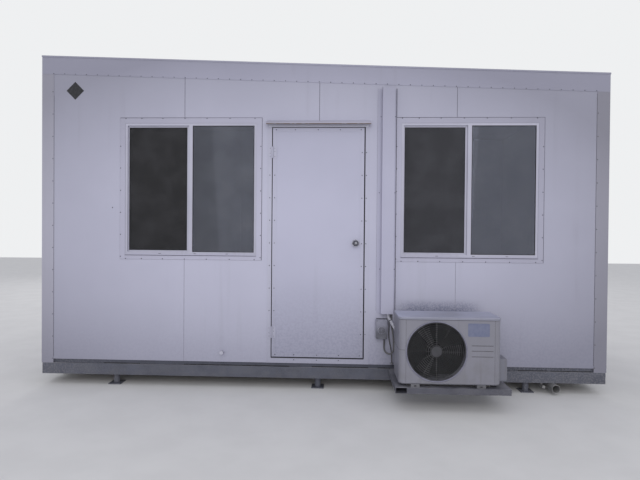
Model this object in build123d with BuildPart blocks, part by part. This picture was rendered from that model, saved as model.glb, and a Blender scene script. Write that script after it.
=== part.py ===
from build123d import *
import math
import os

# A single-room site cabin of sandwich panels on a galvanised chassis, with two sliding windows,
# a hinged door and a split air conditioner outside. X runs along the front from left to right,
# Y runs from the front to the back and Z is up. The origin is on the ground, below the middle
# of everything that stands on it. Places along the front are measured from its middle line.

# Overall sizes
length = 5000.0
depth = 2500.0
ground_gap = 95.0
left_height = 2865.0
roof_fall_height = 180.0

# Sheets, panels and steel sections
sheet = 3.0
wall_core = 72.0
roof_core = 60.0
roof_rib = 35.0
roof_rib_pitch = 250.0
seat_clearance = 0.3
panel_width = 1200.0
panel_joint = 4.0
corner_width = 108.0
fascia_depth = 165.0
fascia_flange = 85.0
cap_height = 14.0
cap_reach = 3.0
beam_height = 98.0
beam_flange = 50.0
beam_steel = 4.0
beam_setback = 7.0
joist_height = 80.0
joist_width = 40.0
joist_count = 8
track_height = 35.0
track_recess = 14.0
deck_thickness = 22.0

# Legs
leg_span = 1840.0
leg_inset = 75.0
leg_radius = 27.0
pad_half = 55.0
pad_thickness = 8.0

# Windows: the head is measured down from the low end of the fascia
window_centres = (-1146.0, 1312.0)
window_drop = 264.0
window_width = 1183.0
window_height = 1168.0
window_trim = 46.0
window_frame = 21.0
window_frame_depth = 60.0
sill_reach = 9.0
sill_height = 7.0
meeting_rail = 34.0
meeting_rail_depth = 14.0
pane_thickness = 5.0
pane_setback = 6.0
screen_setback = 17.0
screen_depth = 8.0
screen_stile = 9.0
screen_pull_stile = 36.0
screen_rail = 14.0
mesh_thickness = 1.0
sash_setback = 30.0
sash_face = 20.0
sash_depth = 24.0

# Door
door_left = -415.5
door_bottom = 188.0
leaf_width = 807.0
leaf_height = 2027.0
leaf_thickness = 40.0
hinge_gap = 5.0
lock_gap = 7.0
head_gap = 6.0
sill_gap = 6.0
stop_gap = 6.0
jamb_width = 30.0
jamb_flange = 42.0
door_stop = 12.0
edging_face = 35.0
edging_skin = 2.0
hood_width = 914.0
hood_lift = 13.0
hood_lip = 21.0
hood_rise = 22.0
hood_reach = 60.0
hood_leg = 25.0

# Hinges and knobs
hinge_length = 100.0
hinge_end_distance = 218.0
hinge_plate = 30.0
hinge_plate_thickness = 3.0
hinge_radius = 7.0
hinge_clearance = 1.0
knuckle_gap = 0.5
pin_radius = 3.0
pin_clearance = 0.4
knob_height = 1012.0
knob_backset = 70.0
knob_radius = 26.0
knob_reach = 62.0
knob_length = 38.0
spindle_radius = 5.0
spindle_clearance = 1.0
stem_radius = 8.5
rose_radius = 34.0
rose_bore = 9.0
rose_thickness = 7.0

# Pipe duct and isolator on the front wall
duct_left = 549.0
duct_width = 107.0
duct_reach = 60.0
duct_left_flange = 38.0
duct_right_flange = 18.0
duct_bottom = 588.0
duct_top_gap = 32.0
plug_thickness = 14.0
plug_recess = 4.0
isolator_left = 509.0
isolator_bottom = 372.0
isolator_width = 94.0
isolator_height = 167.0
isolator_reach = 65.0
isolator_corner = 6.0
isolator_lid = 24.0
isolator_seam = 2.0
isolator_bevel = 2.5
dial_height = 77.0
dial_radius = 29.0
dial_rim = 4.0
dial_reach = 8.0
handle_width = 13.0
handle_length = 52.0
handle_reach = 12.0
gland_offset = 27.0
gland_radius = 11.0
gland_length = 14.0

# Air conditioner and its shelf
unit_left = 652.0
unit_width = 785.0
unit_height = 499.0
unit_depth = 305.0
unit_front = 487.0
unit_sheet = 2.5
unit_corner = 47.0
line_heights = (215.0, 259.0, 300.0)
line_width = 165.0
line_inset = 62.0
line_height = 5.0
line_depth = 1.2
seam_width = 2.5
seam_left_inset = 54.0
seam_right_inset = 50.0
lid_height = 20.0
lid_overhang = 4.0
lid_rounding = 8.0
fan_centre = 289.0
fan_height = 252.0
fan_ring_radius = 231.0
collar_depth = 60.0
blade_radius = 205.0
hub_radius = 52.0
hub_depth = 60.0
shaft_radius = 5.0
fan_setback = 30.0
motor_gap = 12.0
blade_thickness = 5.0
blade_root = 55.0
blade_tip = 120.0
blade_root_twist = 36.0
blade_tip_twist = 24.0
strap_width = 18.0
motor_radius = 55.0
motor_depth = 75.0
guard_rim_width = 8.0
guard_bar_width = 3.2
guard_bar_depth = 4.0
guard_rings = 9
guard_sides = 48
guard_spokes = 12
guard_hub_radius = 44.0
coil_thickness = 38.0
coil_end = 190.0
rear_cut_left = 40.0
rear_cut_right = 150.0
rear_cut_base = 30.0
rear_cut_top = 20.0
foot_width = 67.0
foot_height = 25.0
foot_front = 10.0
foot_back = 20.0
foot_inset_left = 126.0
foot_inset_right = 153.0
valve_cover_width = 66.0
valve_cover_height = 172.0
valve_cover_depth = 130.0
valve_cover_setback = 57.0
valve_cover_rise = 20.0
valve_cover_rounding = 12.0
shelf_left = 626.0
shelf_width = 885.0
shelf_reach = 505.0
shelf_height = 47.0
shelf_arm = 90.0
shelf_steel = 3.0
rail_width = 62.0

# Pipes, the flexible conduit and the condensate hose
waste_x = 2051.0
waste_radius = 35.0
waste_wall = 3.0
waste_reach = 55.0
waste_run = 900.0
small_waste_radius = 12.5
small_waste_gap = 34.0
hanger_width = 16.0
hanger_depth = 30.0
hanger_setback = 45.0
stub_x = -852.0
stub_height = 222.0
stub_radius = 16.0
stub_reach = 42.0
pipe_radius = 13.0
pipe_lap = 60.0
pipe_drop = 30.0
pipe_bend_radius = 45.0
pipe_entry = 110.0
pipe_turn_height = 299.0
conduit_radius = 7.0
conduit_drop = 30.0
conduit_fall = 86.0
conduit_turn = 41.5
conduit_climb = 70.0
hose_radius = 5.0
hose_end = 138.0
clip_width = 30.0
clip_height = 16.0
clip_steel = 3.0
bend_share = 0.45
run_clearance = 0.3

os.makedirs("parts", exist_ok=True)

# Planes and levels worked out from the sizes
front = (shelf_reach - depth - cap_reach) / 2
rear = front + depth
left = -length / 2
right = length / 2
beam_left = left + beam_setback
beam_right = right - beam_setback
chassis = ground_gap
floor_level = chassis + beam_height
panel_bottom = floor_level + track_height
roof_angle = math.degrees(math.atan2(roof_fall_height, length))
roof_stack = sheet + seat_clearance + (roof_rib + roof_core) / math.cos(math.radians(roof_angle))
wall_total = sheet + wall_core


def roof_top(x):
    """Height of the roof's upper edge at x."""
    return chassis + left_height - roof_fall_height * (x - left) / length


def wall_top(x):
    """Height of the underside of the roof panels at x."""
    return roof_top(x) - roof_stack


def facing(y):
    """A vertical plane at y whose sketch runs along X and Z and whose normal looks to the front."""
    return Plane.XZ.offset(-y)


def write(builder, label):
    """Label a finished piece and write it as its own file."""
    builder.part.label = label
    export_step(builder.part, f"parts/{label}.step")


def block(x0, x1, y0, y1, z0, z1, mode=Mode.ADD):
    """A block between two corners, added to the part that is being built or cut from it."""
    with BuildSketch(Plane.XY.offset(z0)) as footprint:
        with Locations(((x0 + x1) / 2, (y0 + y1) / 2)):
            Rectangle(x1 - x0, y1 - y0)
    extrude(footprint.sketch, amount=z1 - z0, mode=mode)


def outline(*points):
    """A face with these corners, added to the sketch that is being drawn."""
    with BuildLine() as border:
        Polyline(*points, close=True)
    make_face(border.edges())


def channel(width, height, steel):
    """The section of a channel with its web on the left and its flanges to the right."""
    outline(
        (0, 0),
        (width, 0),
        (width, steel),
        (steel, steel),
        (steel, height - steel),
        (width, height - steel),
        (width, height),
        (0, height),
    )


# Chassis: long beams with closed ends, end beams between them, joists and legs
def long_beam(label, web_y, inward):
    section = Plane(origin=(beam_left, web_y, chassis), x_dir=(0, inward, 0), z_dir=(inward, 0, 0))
    with BuildPart() as beam:
        with BuildSketch(section):
            channel(beam_flange, beam_height, beam_steel)
        extrude(amount=inward * (beam_right - beam_left))
        inner_y = web_y + inward * beam_flange
        low_y = min(web_y, inner_y)
        high_y = max(web_y, inner_y)
        block(beam_left, beam_left + beam_steel, low_y, high_y, chassis, floor_level)
        block(beam_right - beam_steel, beam_right, low_y, high_y, chassis, floor_level)
    write(beam, label)


long_beam("front_beam", front, 1)
long_beam("rear_beam", rear, -1)

beam_run = depth - 2 * beam_flange

with BuildPart() as end_beams:
    with BuildSketch(Plane(origin=(beam_left, front + beam_flange, chassis), x_dir=(1, 0, 0), z_dir=(0, -1, 0))):
        channel(beam_flange, beam_height, beam_steel)
    extrude(amount=-beam_run)
    with BuildSketch(Plane(origin=(beam_right, front + beam_flange, chassis), x_dir=(-1, 0, 0), z_dir=(0, 1, 0))):
        channel(beam_flange, beam_height, beam_steel)
    extrude(amount=beam_run)
write(end_beams, "end_beams")

with BuildPart() as floor_joists:
    joist_pitch = length / (joist_count + 1)
    joist_base = floor_level - joist_height
    for index in range(joist_count):
        web_x = left + joist_pitch * (index + 1) - joist_width / 2
        with BuildSketch(Plane(origin=(web_x, front + beam_flange, joist_base), x_dir=(1, 0, 0), z_dir=(0, -1, 0))):
            channel(joist_width, joist_height, beam_steel)
        extrude(amount=-beam_run)
write(floor_joists, "floor_joists")

with BuildPart() as legs:
    for x in (-leg_span, 0, leg_span):
        for y in (front + leg_inset, rear - leg_inset):
            block(x - pad_half, x + pad_half, y - pad_half, y + pad_half, 0, pad_thickness)
            with BuildSketch(Plane.XY.offset(pad_thickness)):
                with Locations((x, y)):
                    Circle(leg_radius)
            extrude(amount=chassis - 2 * pad_thickness)
            with BuildSketch(Plane.XY.offset(chassis - pad_thickness)):
                with Locations((x, y)):
                    Rectangle(2 * pad_half, 2 * leg_radius)
            extrude(amount=pad_thickness)
write(legs, "legs")

# Floor: bottom tracks under the wall panels and the deck between them
track_depth = wall_total - track_recess
track_front = front + track_recess
track_rear = rear - track_recess
track_left = left + track_recess
track_right = right - track_recess

with BuildPart() as bottom_tracks:
    long_run = track_right - track_left
    end_run = track_rear - track_front - 2 * (track_depth + panel_joint)
    end_start = track_front + track_depth + panel_joint
    with BuildSketch(Plane(origin=(track_left, track_front, floor_level), x_dir=(0, 1, 0), z_dir=(1, 0, 0))):
        channel(track_depth, track_height, sheet)
    extrude(amount=long_run)
    with BuildSketch(Plane(origin=(track_left, track_rear, floor_level), x_dir=(0, -1, 0), z_dir=(-1, 0, 0))):
        channel(track_depth, track_height, sheet)
    extrude(amount=-long_run)
    with BuildSketch(Plane(origin=(track_left, end_start, floor_level), x_dir=(1, 0, 0), z_dir=(0, -1, 0))):
        channel(track_depth, track_height, sheet)
    extrude(amount=-end_run)
    with BuildSketch(Plane(origin=(track_right, end_start, floor_level), x_dir=(-1, 0, 0), z_dir=(0, 1, 0))):
        channel(track_depth, track_height, sheet)
    extrude(amount=end_run)
write(bottom_tracks, "bottom_tracks")

deck_top = floor_level + deck_thickness
with BuildPart() as floor_deck:
    block(
        track_left + track_depth,
        track_right - track_depth,
        track_front + track_depth,
        track_rear - track_depth,
        floor_level,
        deck_top,
    )
write(floor_deck, "floor_deck")

# Openings in the front wall
clear_left = door_left
clear_right = clear_left + hinge_gap + leaf_width + lock_gap
leaf_bottom = chassis + door_bottom
leaf_top = leaf_bottom + leaf_height
clear_bottom = leaf_bottom - sill_gap
clear_top = leaf_top + head_gap
cut_left = clear_left - jamb_width
cut_right = clear_right + jamb_width
cut_top = clear_top + jamb_width
window_head = roof_top(right) - fascia_depth - window_drop
sill_level = window_head - window_height


def wall_piece(x0, x1, bottom, y0, windows):
    """A stretch of panel under the sloping roof, with the window openings cut through it."""
    with BuildSketch(facing(y0 + wall_core)) as face:
        outline((x0, bottom), (x1, bottom), (x1, wall_top(x1)), (x0, wall_top(x0)))
        for centre in windows:
            with Locations((centre, sill_level + window_height / 2)):
                Rectangle(window_width, window_height, mode=Mode.SUBTRACT)
    extrude(face.sketch, amount=wall_core)


# Front wall: four panels, cut round the windows and stopped at the doorway, and two over the door
joints = [-panel_width, 0, panel_width]
half_joint = panel_joint / 2
front_spans = (
    (left + wall_total, joints[0] - half_joint),
    (joints[0] + half_joint, cut_left),
    (cut_right, joints[2] - half_joint),
    (joints[2] + half_joint, right - wall_total),
)

for number, (x0, x1) in enumerate(front_spans, start=1):
    with BuildPart() as front_panel:
        wall_piece(x0, x1, panel_bottom, front + sheet, window_centres)
    write(front_panel, f"front_panel_{number}")

with BuildPart() as door_header_panels:
    wall_piece(cut_left, joints[1] - half_joint, cut_top, front + sheet, ())
    wall_piece(joints[1] + half_joint, cut_right, cut_top, front + sheet, ())
write(door_header_panels, "door_header_panels")

# Rear wall and end walls: plain panels with open joints
with BuildPart() as rear_wall_panels:
    starts = [left + wall_total] + [joint + half_joint for joint in joints]
    stops = [joint - half_joint for joint in joints] + [right - wall_total]
    for x0, x1 in zip(starts, stops):
        wall_piece(x0, x1, panel_bottom, rear - sheet - wall_core, ())
write(rear_wall_panels, "rear_wall_panels")


def end_wall(label, x0):
    """Two panels across an end, from corner to corner behind the corner flashings."""
    middle = (front + rear) / 2
    with BuildPart() as end_panels:
        with BuildSketch(facing(middle - half_joint)):
            outline(
                (x0, panel_bottom),
                (x0 + wall_core, panel_bottom),
                (x0 + wall_core, wall_top(x0 + wall_core)),
                (x0, wall_top(x0)),
            )
        extrude(amount=middle - half_joint - front - sheet)
        with BuildSketch(facing(rear - sheet)):
            outline(
                (x0, panel_bottom),
                (x0 + wall_core, panel_bottom),
                (x0 + wall_core, wall_top(x0 + wall_core)),
                (x0, wall_top(x0)),
            )
        extrude(amount=rear - sheet - middle - half_joint)
    write(end_panels, label)


end_wall("left_end_panels", left + sheet)
end_wall("right_end_panels", right - sheet - wall_core)

# Corner flashings: folded angles over the joints between the walls, from the beam to the fascia
with BuildPart() as corner_flashings:
    for x_edge, x_in in ((left, 1), (right, -1)):
        x_far = x_edge + x_in * corner_width
        x_skin = x_edge + x_in * sheet
        for y_edge, y_in in ((front, 1), (rear, -1)):
            y_skin = y_edge + y_in * sheet
            y_far = y_edge + y_in * corner_width
            with BuildSketch(facing(max(y_edge, y_skin))):
                outline(
                    (x_edge, floor_level),
                    (x_far, floor_level),
                    (x_far, roof_top(x_far) - fascia_depth),
                    (x_edge, roof_top(x_edge) - fascia_depth),
                )
            extrude(amount=sheet)
            with BuildSketch(facing(max(y_skin, y_far))):
                outline(
                    (x_edge, floor_level),
                    (x_skin, floor_level),
                    (x_skin, roof_top(x_skin) - fascia_depth),
                    (x_edge, roof_top(x_edge) - fascia_depth),
                )
            extrude(amount=abs(y_far - y_skin))
write(corner_flashings, "corner_flashings")

# Roof: one sloping skin of sandwich panels with trapezoid ribs that run down the fall
slope = Plane(
    origin=(left + sheet, front + sheet, wall_top(left + sheet)),
    x_dir=(0, 1, 0),
    z_dir=(math.cos(math.radians(roof_angle)), 0, -math.sin(math.radians(roof_angle))),
)
roof_width = depth - 2 * sheet
roof_run = (length - 2 * sheet - roof_stack * math.sin(math.radians(roof_angle))) / math.cos(math.radians(roof_angle))
with BuildPart() as roof_panels:
    with BuildSketch(slope):
        with Locations((roof_width / 2, roof_core / 2)):
            Rectangle(roof_width, roof_core)
        rib_count = int(roof_width // roof_rib_pitch)
        for index in range(rib_count):
            rib_x = roof_width / 2 + (index - (rib_count - 1) / 2) * roof_rib_pitch
            outline(
                (rib_x - roof_rib, roof_core),
                (rib_x + roof_rib, roof_core),
                (rib_x + roof_rib / 2, roof_core + roof_rib),
                (rib_x - roof_rib / 2, roof_core + roof_rib),
            )
    extrude(amount=roof_run)
write(roof_panels, "roof_panels")


# Fascias: folded sheets that hide the roof edge, with a flange on top of the ribs and a capping
# fold that stands proud along the top edge
def fascia_strip(y_edge, y_in):
    """A sloping fascia along the front or the back."""
    y_skin = y_edge + y_in * sheet
    y_far = y_edge + y_in * fascia_flange
    with BuildSketch(facing(max(y_edge, y_skin))) as skin:
        outline(
            (left, roof_top(left)),
            (left, roof_top(left) - fascia_depth),
            (right, roof_top(right) - fascia_depth),
            (right, roof_top(right)),
        )
    extrude(skin.sketch, amount=sheet)
    with BuildSketch(facing(max(y_skin, y_far))) as flange:
        outline(
            (left, roof_top(left)),
            (left, roof_top(left) - sheet),
            (right, roof_top(right) - sheet),
            (right, roof_top(right)),
        )
    extrude(flange.sketch, amount=abs(y_far - y_skin))
    with BuildSketch(facing(max(y_edge, y_edge - y_in * cap_reach))) as capping:
        outline(
            (left, roof_top(left)),
            (left, roof_top(left) - cap_height),
            (right, roof_top(right) - cap_height),
            (right, roof_top(right)),
        )
    extrude(capping.sketch, amount=cap_reach)


with BuildPart() as front_fascia:
    fascia_strip(front, 1)
write(front_fascia, "front_fascia")

with BuildPart() as rear_fascia:
    fascia_strip(rear, -1)
write(rear_fascia, "rear_fascia")

with BuildPart() as end_fascias:
    for x_edge, x_in in ((left, 1), (right, -1)):
        x_skin = x_edge + x_in * sheet
        x_far = x_edge + x_in * fascia_flange
        with BuildSketch(facing(rear - sheet)):
            outline(
                (x_edge, roof_top(x_edge) - sheet),
                (x_edge, roof_top(x_edge) - fascia_depth),
                (x_skin, roof_top(x_skin) - fascia_depth),
                (x_skin, roof_top(x_skin) - sheet),
            )
        extrude(amount=depth - 2 * sheet)
        with BuildSketch(facing(rear - fascia_flange)):
            outline(
                (x_edge, roof_top(x_edge)),
                (x_edge, roof_top(x_edge) - sheet),
                (x_far, roof_top(x_far) - sheet),
                (x_far, roof_top(x_far)),
            )
        extrude(amount=depth - 2 * fascia_flange)
        x_out = x_edge - x_in * cap_reach
        with BuildSketch(facing(rear + cap_reach)):
            outline(
                (x_edge, roof_top(x_edge)),
                (x_edge, roof_top(x_edge) - cap_height),
                (x_out, roof_top(x_edge) - cap_height),
                (x_out, roof_top(x_edge)),
            )
        extrude(amount=depth + 2 * cap_reach)
write(end_fascias, "end_fascias")


# Windows: outer trim, fixed frame, one sliding sash and two panes in each
def ring(x0, x1, z0, z1, face, y, thickness, mode=Mode.ADD):
    """A rectangular ring of this face width that is thickness deep behind y."""
    with BuildSketch(facing(y + thickness)) as border:
        with Locations(((x0 + x1) / 2, (z0 + z1) / 2)):
            Rectangle(x1 - x0, z1 - z0)
            Rectangle(x1 - x0 - 2 * face, z1 - z0 - 2 * face, mode=Mode.SUBTRACT)
    extrude(border.sketch, amount=thickness, mode=mode)


frame_front = front + sheet
sash_front = frame_front + sash_setback
screen_front = frame_front + screen_setback
pane_front = frame_front + pane_setback
inner_sill = sill_level + window_frame
inner_head = window_head - window_frame

with BuildPart() as window_trims:
    for centre in window_centres:
        x0 = centre - window_width / 2
        x1 = centre + window_width / 2
        ring(
            x0 - window_trim,
            x1 + window_trim,
            sill_level - window_trim,
            window_head + window_trim,
            window_trim,
            front,
            sheet,
        )
        block(x0, x1, front - sill_reach, front, sill_level - sill_height, sill_level)
write(window_trims, "window_trims")

with BuildPart() as window_frames:
    for centre in window_centres:
        x0 = centre - window_width / 2
        x1 = centre + window_width / 2
        ring(x0, x1, sill_level, window_head, window_frame, frame_front, window_frame_depth)
        block(
            centre - meeting_rail / 2,
            centre + meeting_rail / 2,
            frame_front,
            frame_front + meeting_rail_depth,
            inner_sill,
            inner_head,
        )
write(window_frames, "window_frames")

with BuildPart() as window_sashes:
    for centre in window_centres:
        x0 = centre - window_width / 2 + window_frame
        x1 = centre + meeting_rail / 2
        ring(x0, x1, inner_sill, inner_head, sash_face, sash_front, sash_depth)
write(window_sashes, "window_sashes")

with BuildPart() as window_panes:
    for centre in window_centres:
        x0 = centre - window_width / 2 + window_frame + sash_face
        x1 = centre + meeting_rail / 2
        x2 = centre + window_width / 2 - window_frame
        pane_y = sash_front + (sash_depth - pane_thickness) / 2
        block(
            x0,
            x1 - sash_face,
            pane_y,
            pane_y + pane_thickness,
            inner_sill + sash_face,
            inner_head - sash_face,
        )
        block(x1, x2, pane_front, pane_front + pane_thickness, inner_sill, inner_head)
write(window_panes, "window_panes")

# Insect screens: a slim frame with a wide pull stile in front of each sliding sash
mesh_front = screen_front + (screen_depth - mesh_thickness) / 2
with BuildPart() as screen_frames:
    for centre in window_centres:
        x0 = centre - window_width / 2 + window_frame
        block(x0, centre, screen_front, screen_front + screen_depth, inner_sill, inner_head)
        block(
            x0 + screen_stile,
            centre - screen_pull_stile,
            screen_front,
            screen_front + screen_depth,
            inner_sill + screen_rail,
            inner_head - screen_rail,
            mode=Mode.SUBTRACT,
        )
write(screen_frames, "screen_frames")

with BuildPart() as screen_meshes:
    for centre in window_centres:
        block(
            centre - window_width / 2 + window_frame + screen_stile,
            centre - screen_pull_stile,
            mesh_front,
            mesh_front + mesh_thickness,
            inner_sill + screen_rail,
            inner_head - screen_rail,
        )
write(screen_meshes, "screen_meshes")

# Door frame: rebated jambs, a head across them and a threshold between them
frame_back = front + wall_total
stop_front = front + leaf_thickness + stop_gap


def jamb_section(x, inward):
    """Section of a jamb: outer flange over the panel, body in the cut and stop behind the leaf."""
    outline(
        (x - inward * jamb_flange, front),
        (x, front),
        (x, stop_front),
        (x + inward * door_stop, stop_front),
        (x + inward * door_stop, frame_back),
        (x - inward * jamb_width, frame_back),
        (x - inward * jamb_width, front + sheet),
        (x - inward * jamb_flange, front + sheet),
    )


with BuildPart() as door_jambs:
    with BuildSketch(Plane.XY.offset(panel_bottom)):
        jamb_section(clear_left, 1)
        jamb_section(clear_right, -1)
    extrude(amount=clear_top - panel_bottom)
write(door_jambs, "door_jambs")

with BuildPart() as door_head:
    head_section = Plane(origin=(clear_left - jamb_width, 0, 0), x_dir=(0, 1, 0), z_dir=(1, 0, 0))
    with BuildSketch(head_section):
        outline(
            (front, clear_top),
            (frame_back, clear_top),
            (frame_back, cut_top),
            (front + sheet, cut_top),
            (front + sheet, clear_top + jamb_flange),
            (front, clear_top + jamb_flange),
        )
    extrude(amount=clear_right - clear_left + 2 * jamb_width)
    block(
        clear_left + door_stop,
        clear_right - door_stop,
        stop_front,
        frame_back,
        clear_top - door_stop,
        clear_top,
    )
write(door_head, "door_head")

with BuildPart() as door_threshold:
    block(clear_left, clear_right, front, stop_front, panel_bottom, clear_bottom)
    block(
        clear_left + door_stop,
        clear_right - door_stop,
        stop_front,
        frame_back,
        panel_bottom,
        clear_bottom + door_stop,
    )
write(door_threshold, "door_threshold")

# Rain hood: a folded strip over the door with a lip along its front edge
with BuildPart() as rain_hood:
    hood_left = (clear_left + clear_right - hood_width) / 2
    hood_base = clear_top + hood_lift
    hood_edge = hood_base + hood_lip
    hood_top = hood_edge + hood_rise
    with BuildSketch(Plane(origin=(hood_left, 0, 0), x_dir=(0, 1, 0), z_dir=(1, 0, 0))):
        outline(
            (front, hood_top),
            (front - hood_reach, hood_edge),
            (front - hood_reach, hood_base),
            (front - hood_reach + sheet, hood_base),
            (front - hood_reach + sheet, hood_edge - sheet),
            (front - sheet, hood_top - 2 * sheet),
            (front - sheet, hood_top - hood_leg),
            (front, hood_top - hood_leg),
        )
    extrude(amount=hood_width)
write(rain_hood, "rain_hood")

# Door leaf: a flat core in folded edge channels
leaf_left = clear_left + hinge_gap
leaf_right = leaf_left + leaf_width
leaf_back = front + leaf_thickness
knob_x = leaf_right - knob_backset
knob_z = leaf_bottom + knob_height
bore_radius = spindle_radius + spindle_clearance

with BuildPart() as door_leaf:
    block(
        leaf_left + edging_skin,
        leaf_right - edging_skin,
        front + edging_skin,
        leaf_back - edging_skin,
        leaf_bottom + edging_skin,
        leaf_top - edging_skin,
    )
    with BuildSketch(facing(leaf_back)):
        with Locations((knob_x, knob_z)):
            Circle(bore_radius)
    extrude(amount=leaf_thickness, mode=Mode.SUBTRACT)
write(door_leaf, "door_leaf")

with BuildPart() as door_edging:
    ring(leaf_left, leaf_right, leaf_bottom, leaf_top, edging_face, front, leaf_thickness)
    block(
        leaf_left + edging_skin,
        leaf_right - edging_skin,
        front + edging_skin,
        leaf_back - edging_skin,
        leaf_bottom + edging_skin,
        leaf_top - edging_skin,
        mode=Mode.SUBTRACT,
    )
write(door_edging, "door_edging")

# Hinges: plates on the jamb that hold the pins and outer knuckles, straps on the leaf between them
pin_x = clear_left + hinge_gap / 2
pin_y = front - hinge_radius - hinge_clearance
plate_gap = hinge_radius + hinge_clearance
hinge_centres = (leaf_bottom + hinge_end_distance, leaf_top - hinge_end_distance)
knuckle = hinge_length / 3


def barrel(centre, z0, z1, radius, mode=Mode.ADD):
    """An upright cylinder on the hinge line."""
    with BuildSketch(Plane.XY.offset(centre + z0)) as end:
        with Locations((pin_x, pin_y)):
            Circle(radius)
    extrude(end.sketch, amount=z1 - z0, mode=mode)


with BuildPart() as hinge_plates:
    for centre in hinge_centres:
        block(
            pin_x - plate_gap - hinge_plate,
            pin_x - plate_gap,
            front - hinge_plate_thickness,
            front,
            centre - hinge_length / 2,
            centre + hinge_length / 2,
        )
        for z0 in (-hinge_length / 2, knuckle / 2):
            block(
                pin_x - plate_gap,
                pin_x,
                front - hinge_plate_thickness,
                front,
                centre + z0,
                centre + z0 + knuckle,
            )
            barrel(centre, z0, z0 + knuckle, hinge_radius)
        barrel(centre, -hinge_length / 2, hinge_length / 2, pin_radius)
write(hinge_plates, "hinge_plates")

with BuildPart() as hinge_straps:
    for centre in hinge_centres:
        z0 = -knuckle / 2 + knuckle_gap
        z1 = knuckle / 2 - knuckle_gap
        block(
            pin_x + plate_gap,
            pin_x + plate_gap + hinge_plate,
            front - hinge_plate_thickness,
            front,
            centre - hinge_length / 2,
            centre + hinge_length / 2,
        )
        block(
            pin_x,
            pin_x + plate_gap,
            front - hinge_plate_thickness,
            front,
            centre + z0,
            centre + z1,
        )
        barrel(centre, z0, z1, hinge_radius)
        barrel(centre, z0, z1, pin_radius + pin_clearance, Mode.SUBTRACT)
write(hinge_straps, "hinge_straps")

# Knob set: a rose on each face of the leaf and two knobs on one spindle
core_front = front + edging_skin
core_back = leaf_back - edging_skin

with BuildPart() as door_roses:
    for y0 in (core_front, core_back + rose_thickness):
        with BuildSketch(facing(y0)):
            with Locations((knob_x, knob_z)):
                Circle(rose_radius)
                Circle(rose_bore, mode=Mode.SUBTRACT)
        extrude(amount=rose_thickness)
write(door_roses, "door_roses")


def knob_half(base, outward):
    """One knob from its stem to its tip, outward along Y from this face."""
    neck = base + outward * (knob_reach - knob_length)
    tip = base + outward * knob_reach
    with BuildSketch(Plane(origin=(knob_x, 0, knob_z), x_dir=(1, 0, 0), z_dir=(0, 0, 1))) as half:
        with BuildLine() as border:
            Polyline(
                (0, tip),
                (0, base),
                (stem_radius, base),
                (stem_radius, neck),
                (knob_radius, neck + outward * knob_length * 0.3),
                (knob_radius * 0.96, neck + outward * knob_length * 0.7),
                (knob_radius * 0.65, tip),
                close=True,
            )
        make_face(border.edges())
    revolve(half.sketch, axis=Axis((knob_x, 0, knob_z), (0, 1, 0)))


with BuildPart() as door_knob:
    knob_half(core_front - run_clearance, -1)
    knob_half(core_back + run_clearance, 1)
    with BuildSketch(facing(core_back + run_clearance)):
        with Locations((knob_x, knob_z)):
            Circle(spindle_radius)
    extrude(amount=core_back - core_front + 2 * run_clearance)
write(door_knob, "door_knob")

# Pipe duct: a hat-shaped cover with a flange down each side and a closed top
duct_x0 = duct_left
duct_x1 = duct_left + duct_width
duct_z0 = chassis + duct_bottom
duct_z1 = roof_top(duct_x1 + duct_right_flange) - fascia_depth - duct_top_gap
duct_inner_front = front + sheet - duct_reach + sheet
with BuildPart() as pipe_duct:
    face_y = front + sheet
    with BuildSketch(Plane.XY.offset(duct_z0)):
        outline(
            (duct_x0 - duct_left_flange, face_y),
            (duct_x0 - duct_left_flange, front),
            (duct_x0, front),
            (duct_x0, face_y - duct_reach),
            (duct_x1, face_y - duct_reach),
            (duct_x1, front),
            (duct_x1 + duct_right_flange, front),
            (duct_x1 + duct_right_flange, face_y),
            (duct_x1 - sheet, face_y),
            (duct_x1 - sheet, duct_inner_front),
            (duct_x0 + sheet, duct_inner_front),
            (duct_x0 + sheet, face_y),
        )
    extrude(amount=duct_z1 - duct_z0)
    block(duct_x0 + sheet, duct_x1 - sheet, duct_inner_front, face_y, duct_z1 - sheet, duct_z1)
write(pipe_duct, "pipe_duct")

# Plug: a foam block in the duct's open foot, with a hole for the insulated pipe
pipe_x = (duct_x0 + duct_x1) / 2 + pipe_radius
pipe_start_y = face_y - duct_reach / 2
plug_base = duct_z0 + plug_recess
with BuildPart() as duct_plug:
    block(
        duct_x0 + sheet,
        duct_x1 - sheet,
        duct_inner_front,
        face_y,
        plug_base,
        plug_base + plug_thickness,
    )
    with BuildSketch(Plane.XY.offset(plug_base)):
        with Locations((pipe_x, pipe_start_y)):
            Circle(pipe_radius + run_clearance)
    extrude(amount=plug_thickness, mode=Mode.SUBTRACT)
write(duct_plug, "duct_plug")

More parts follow.
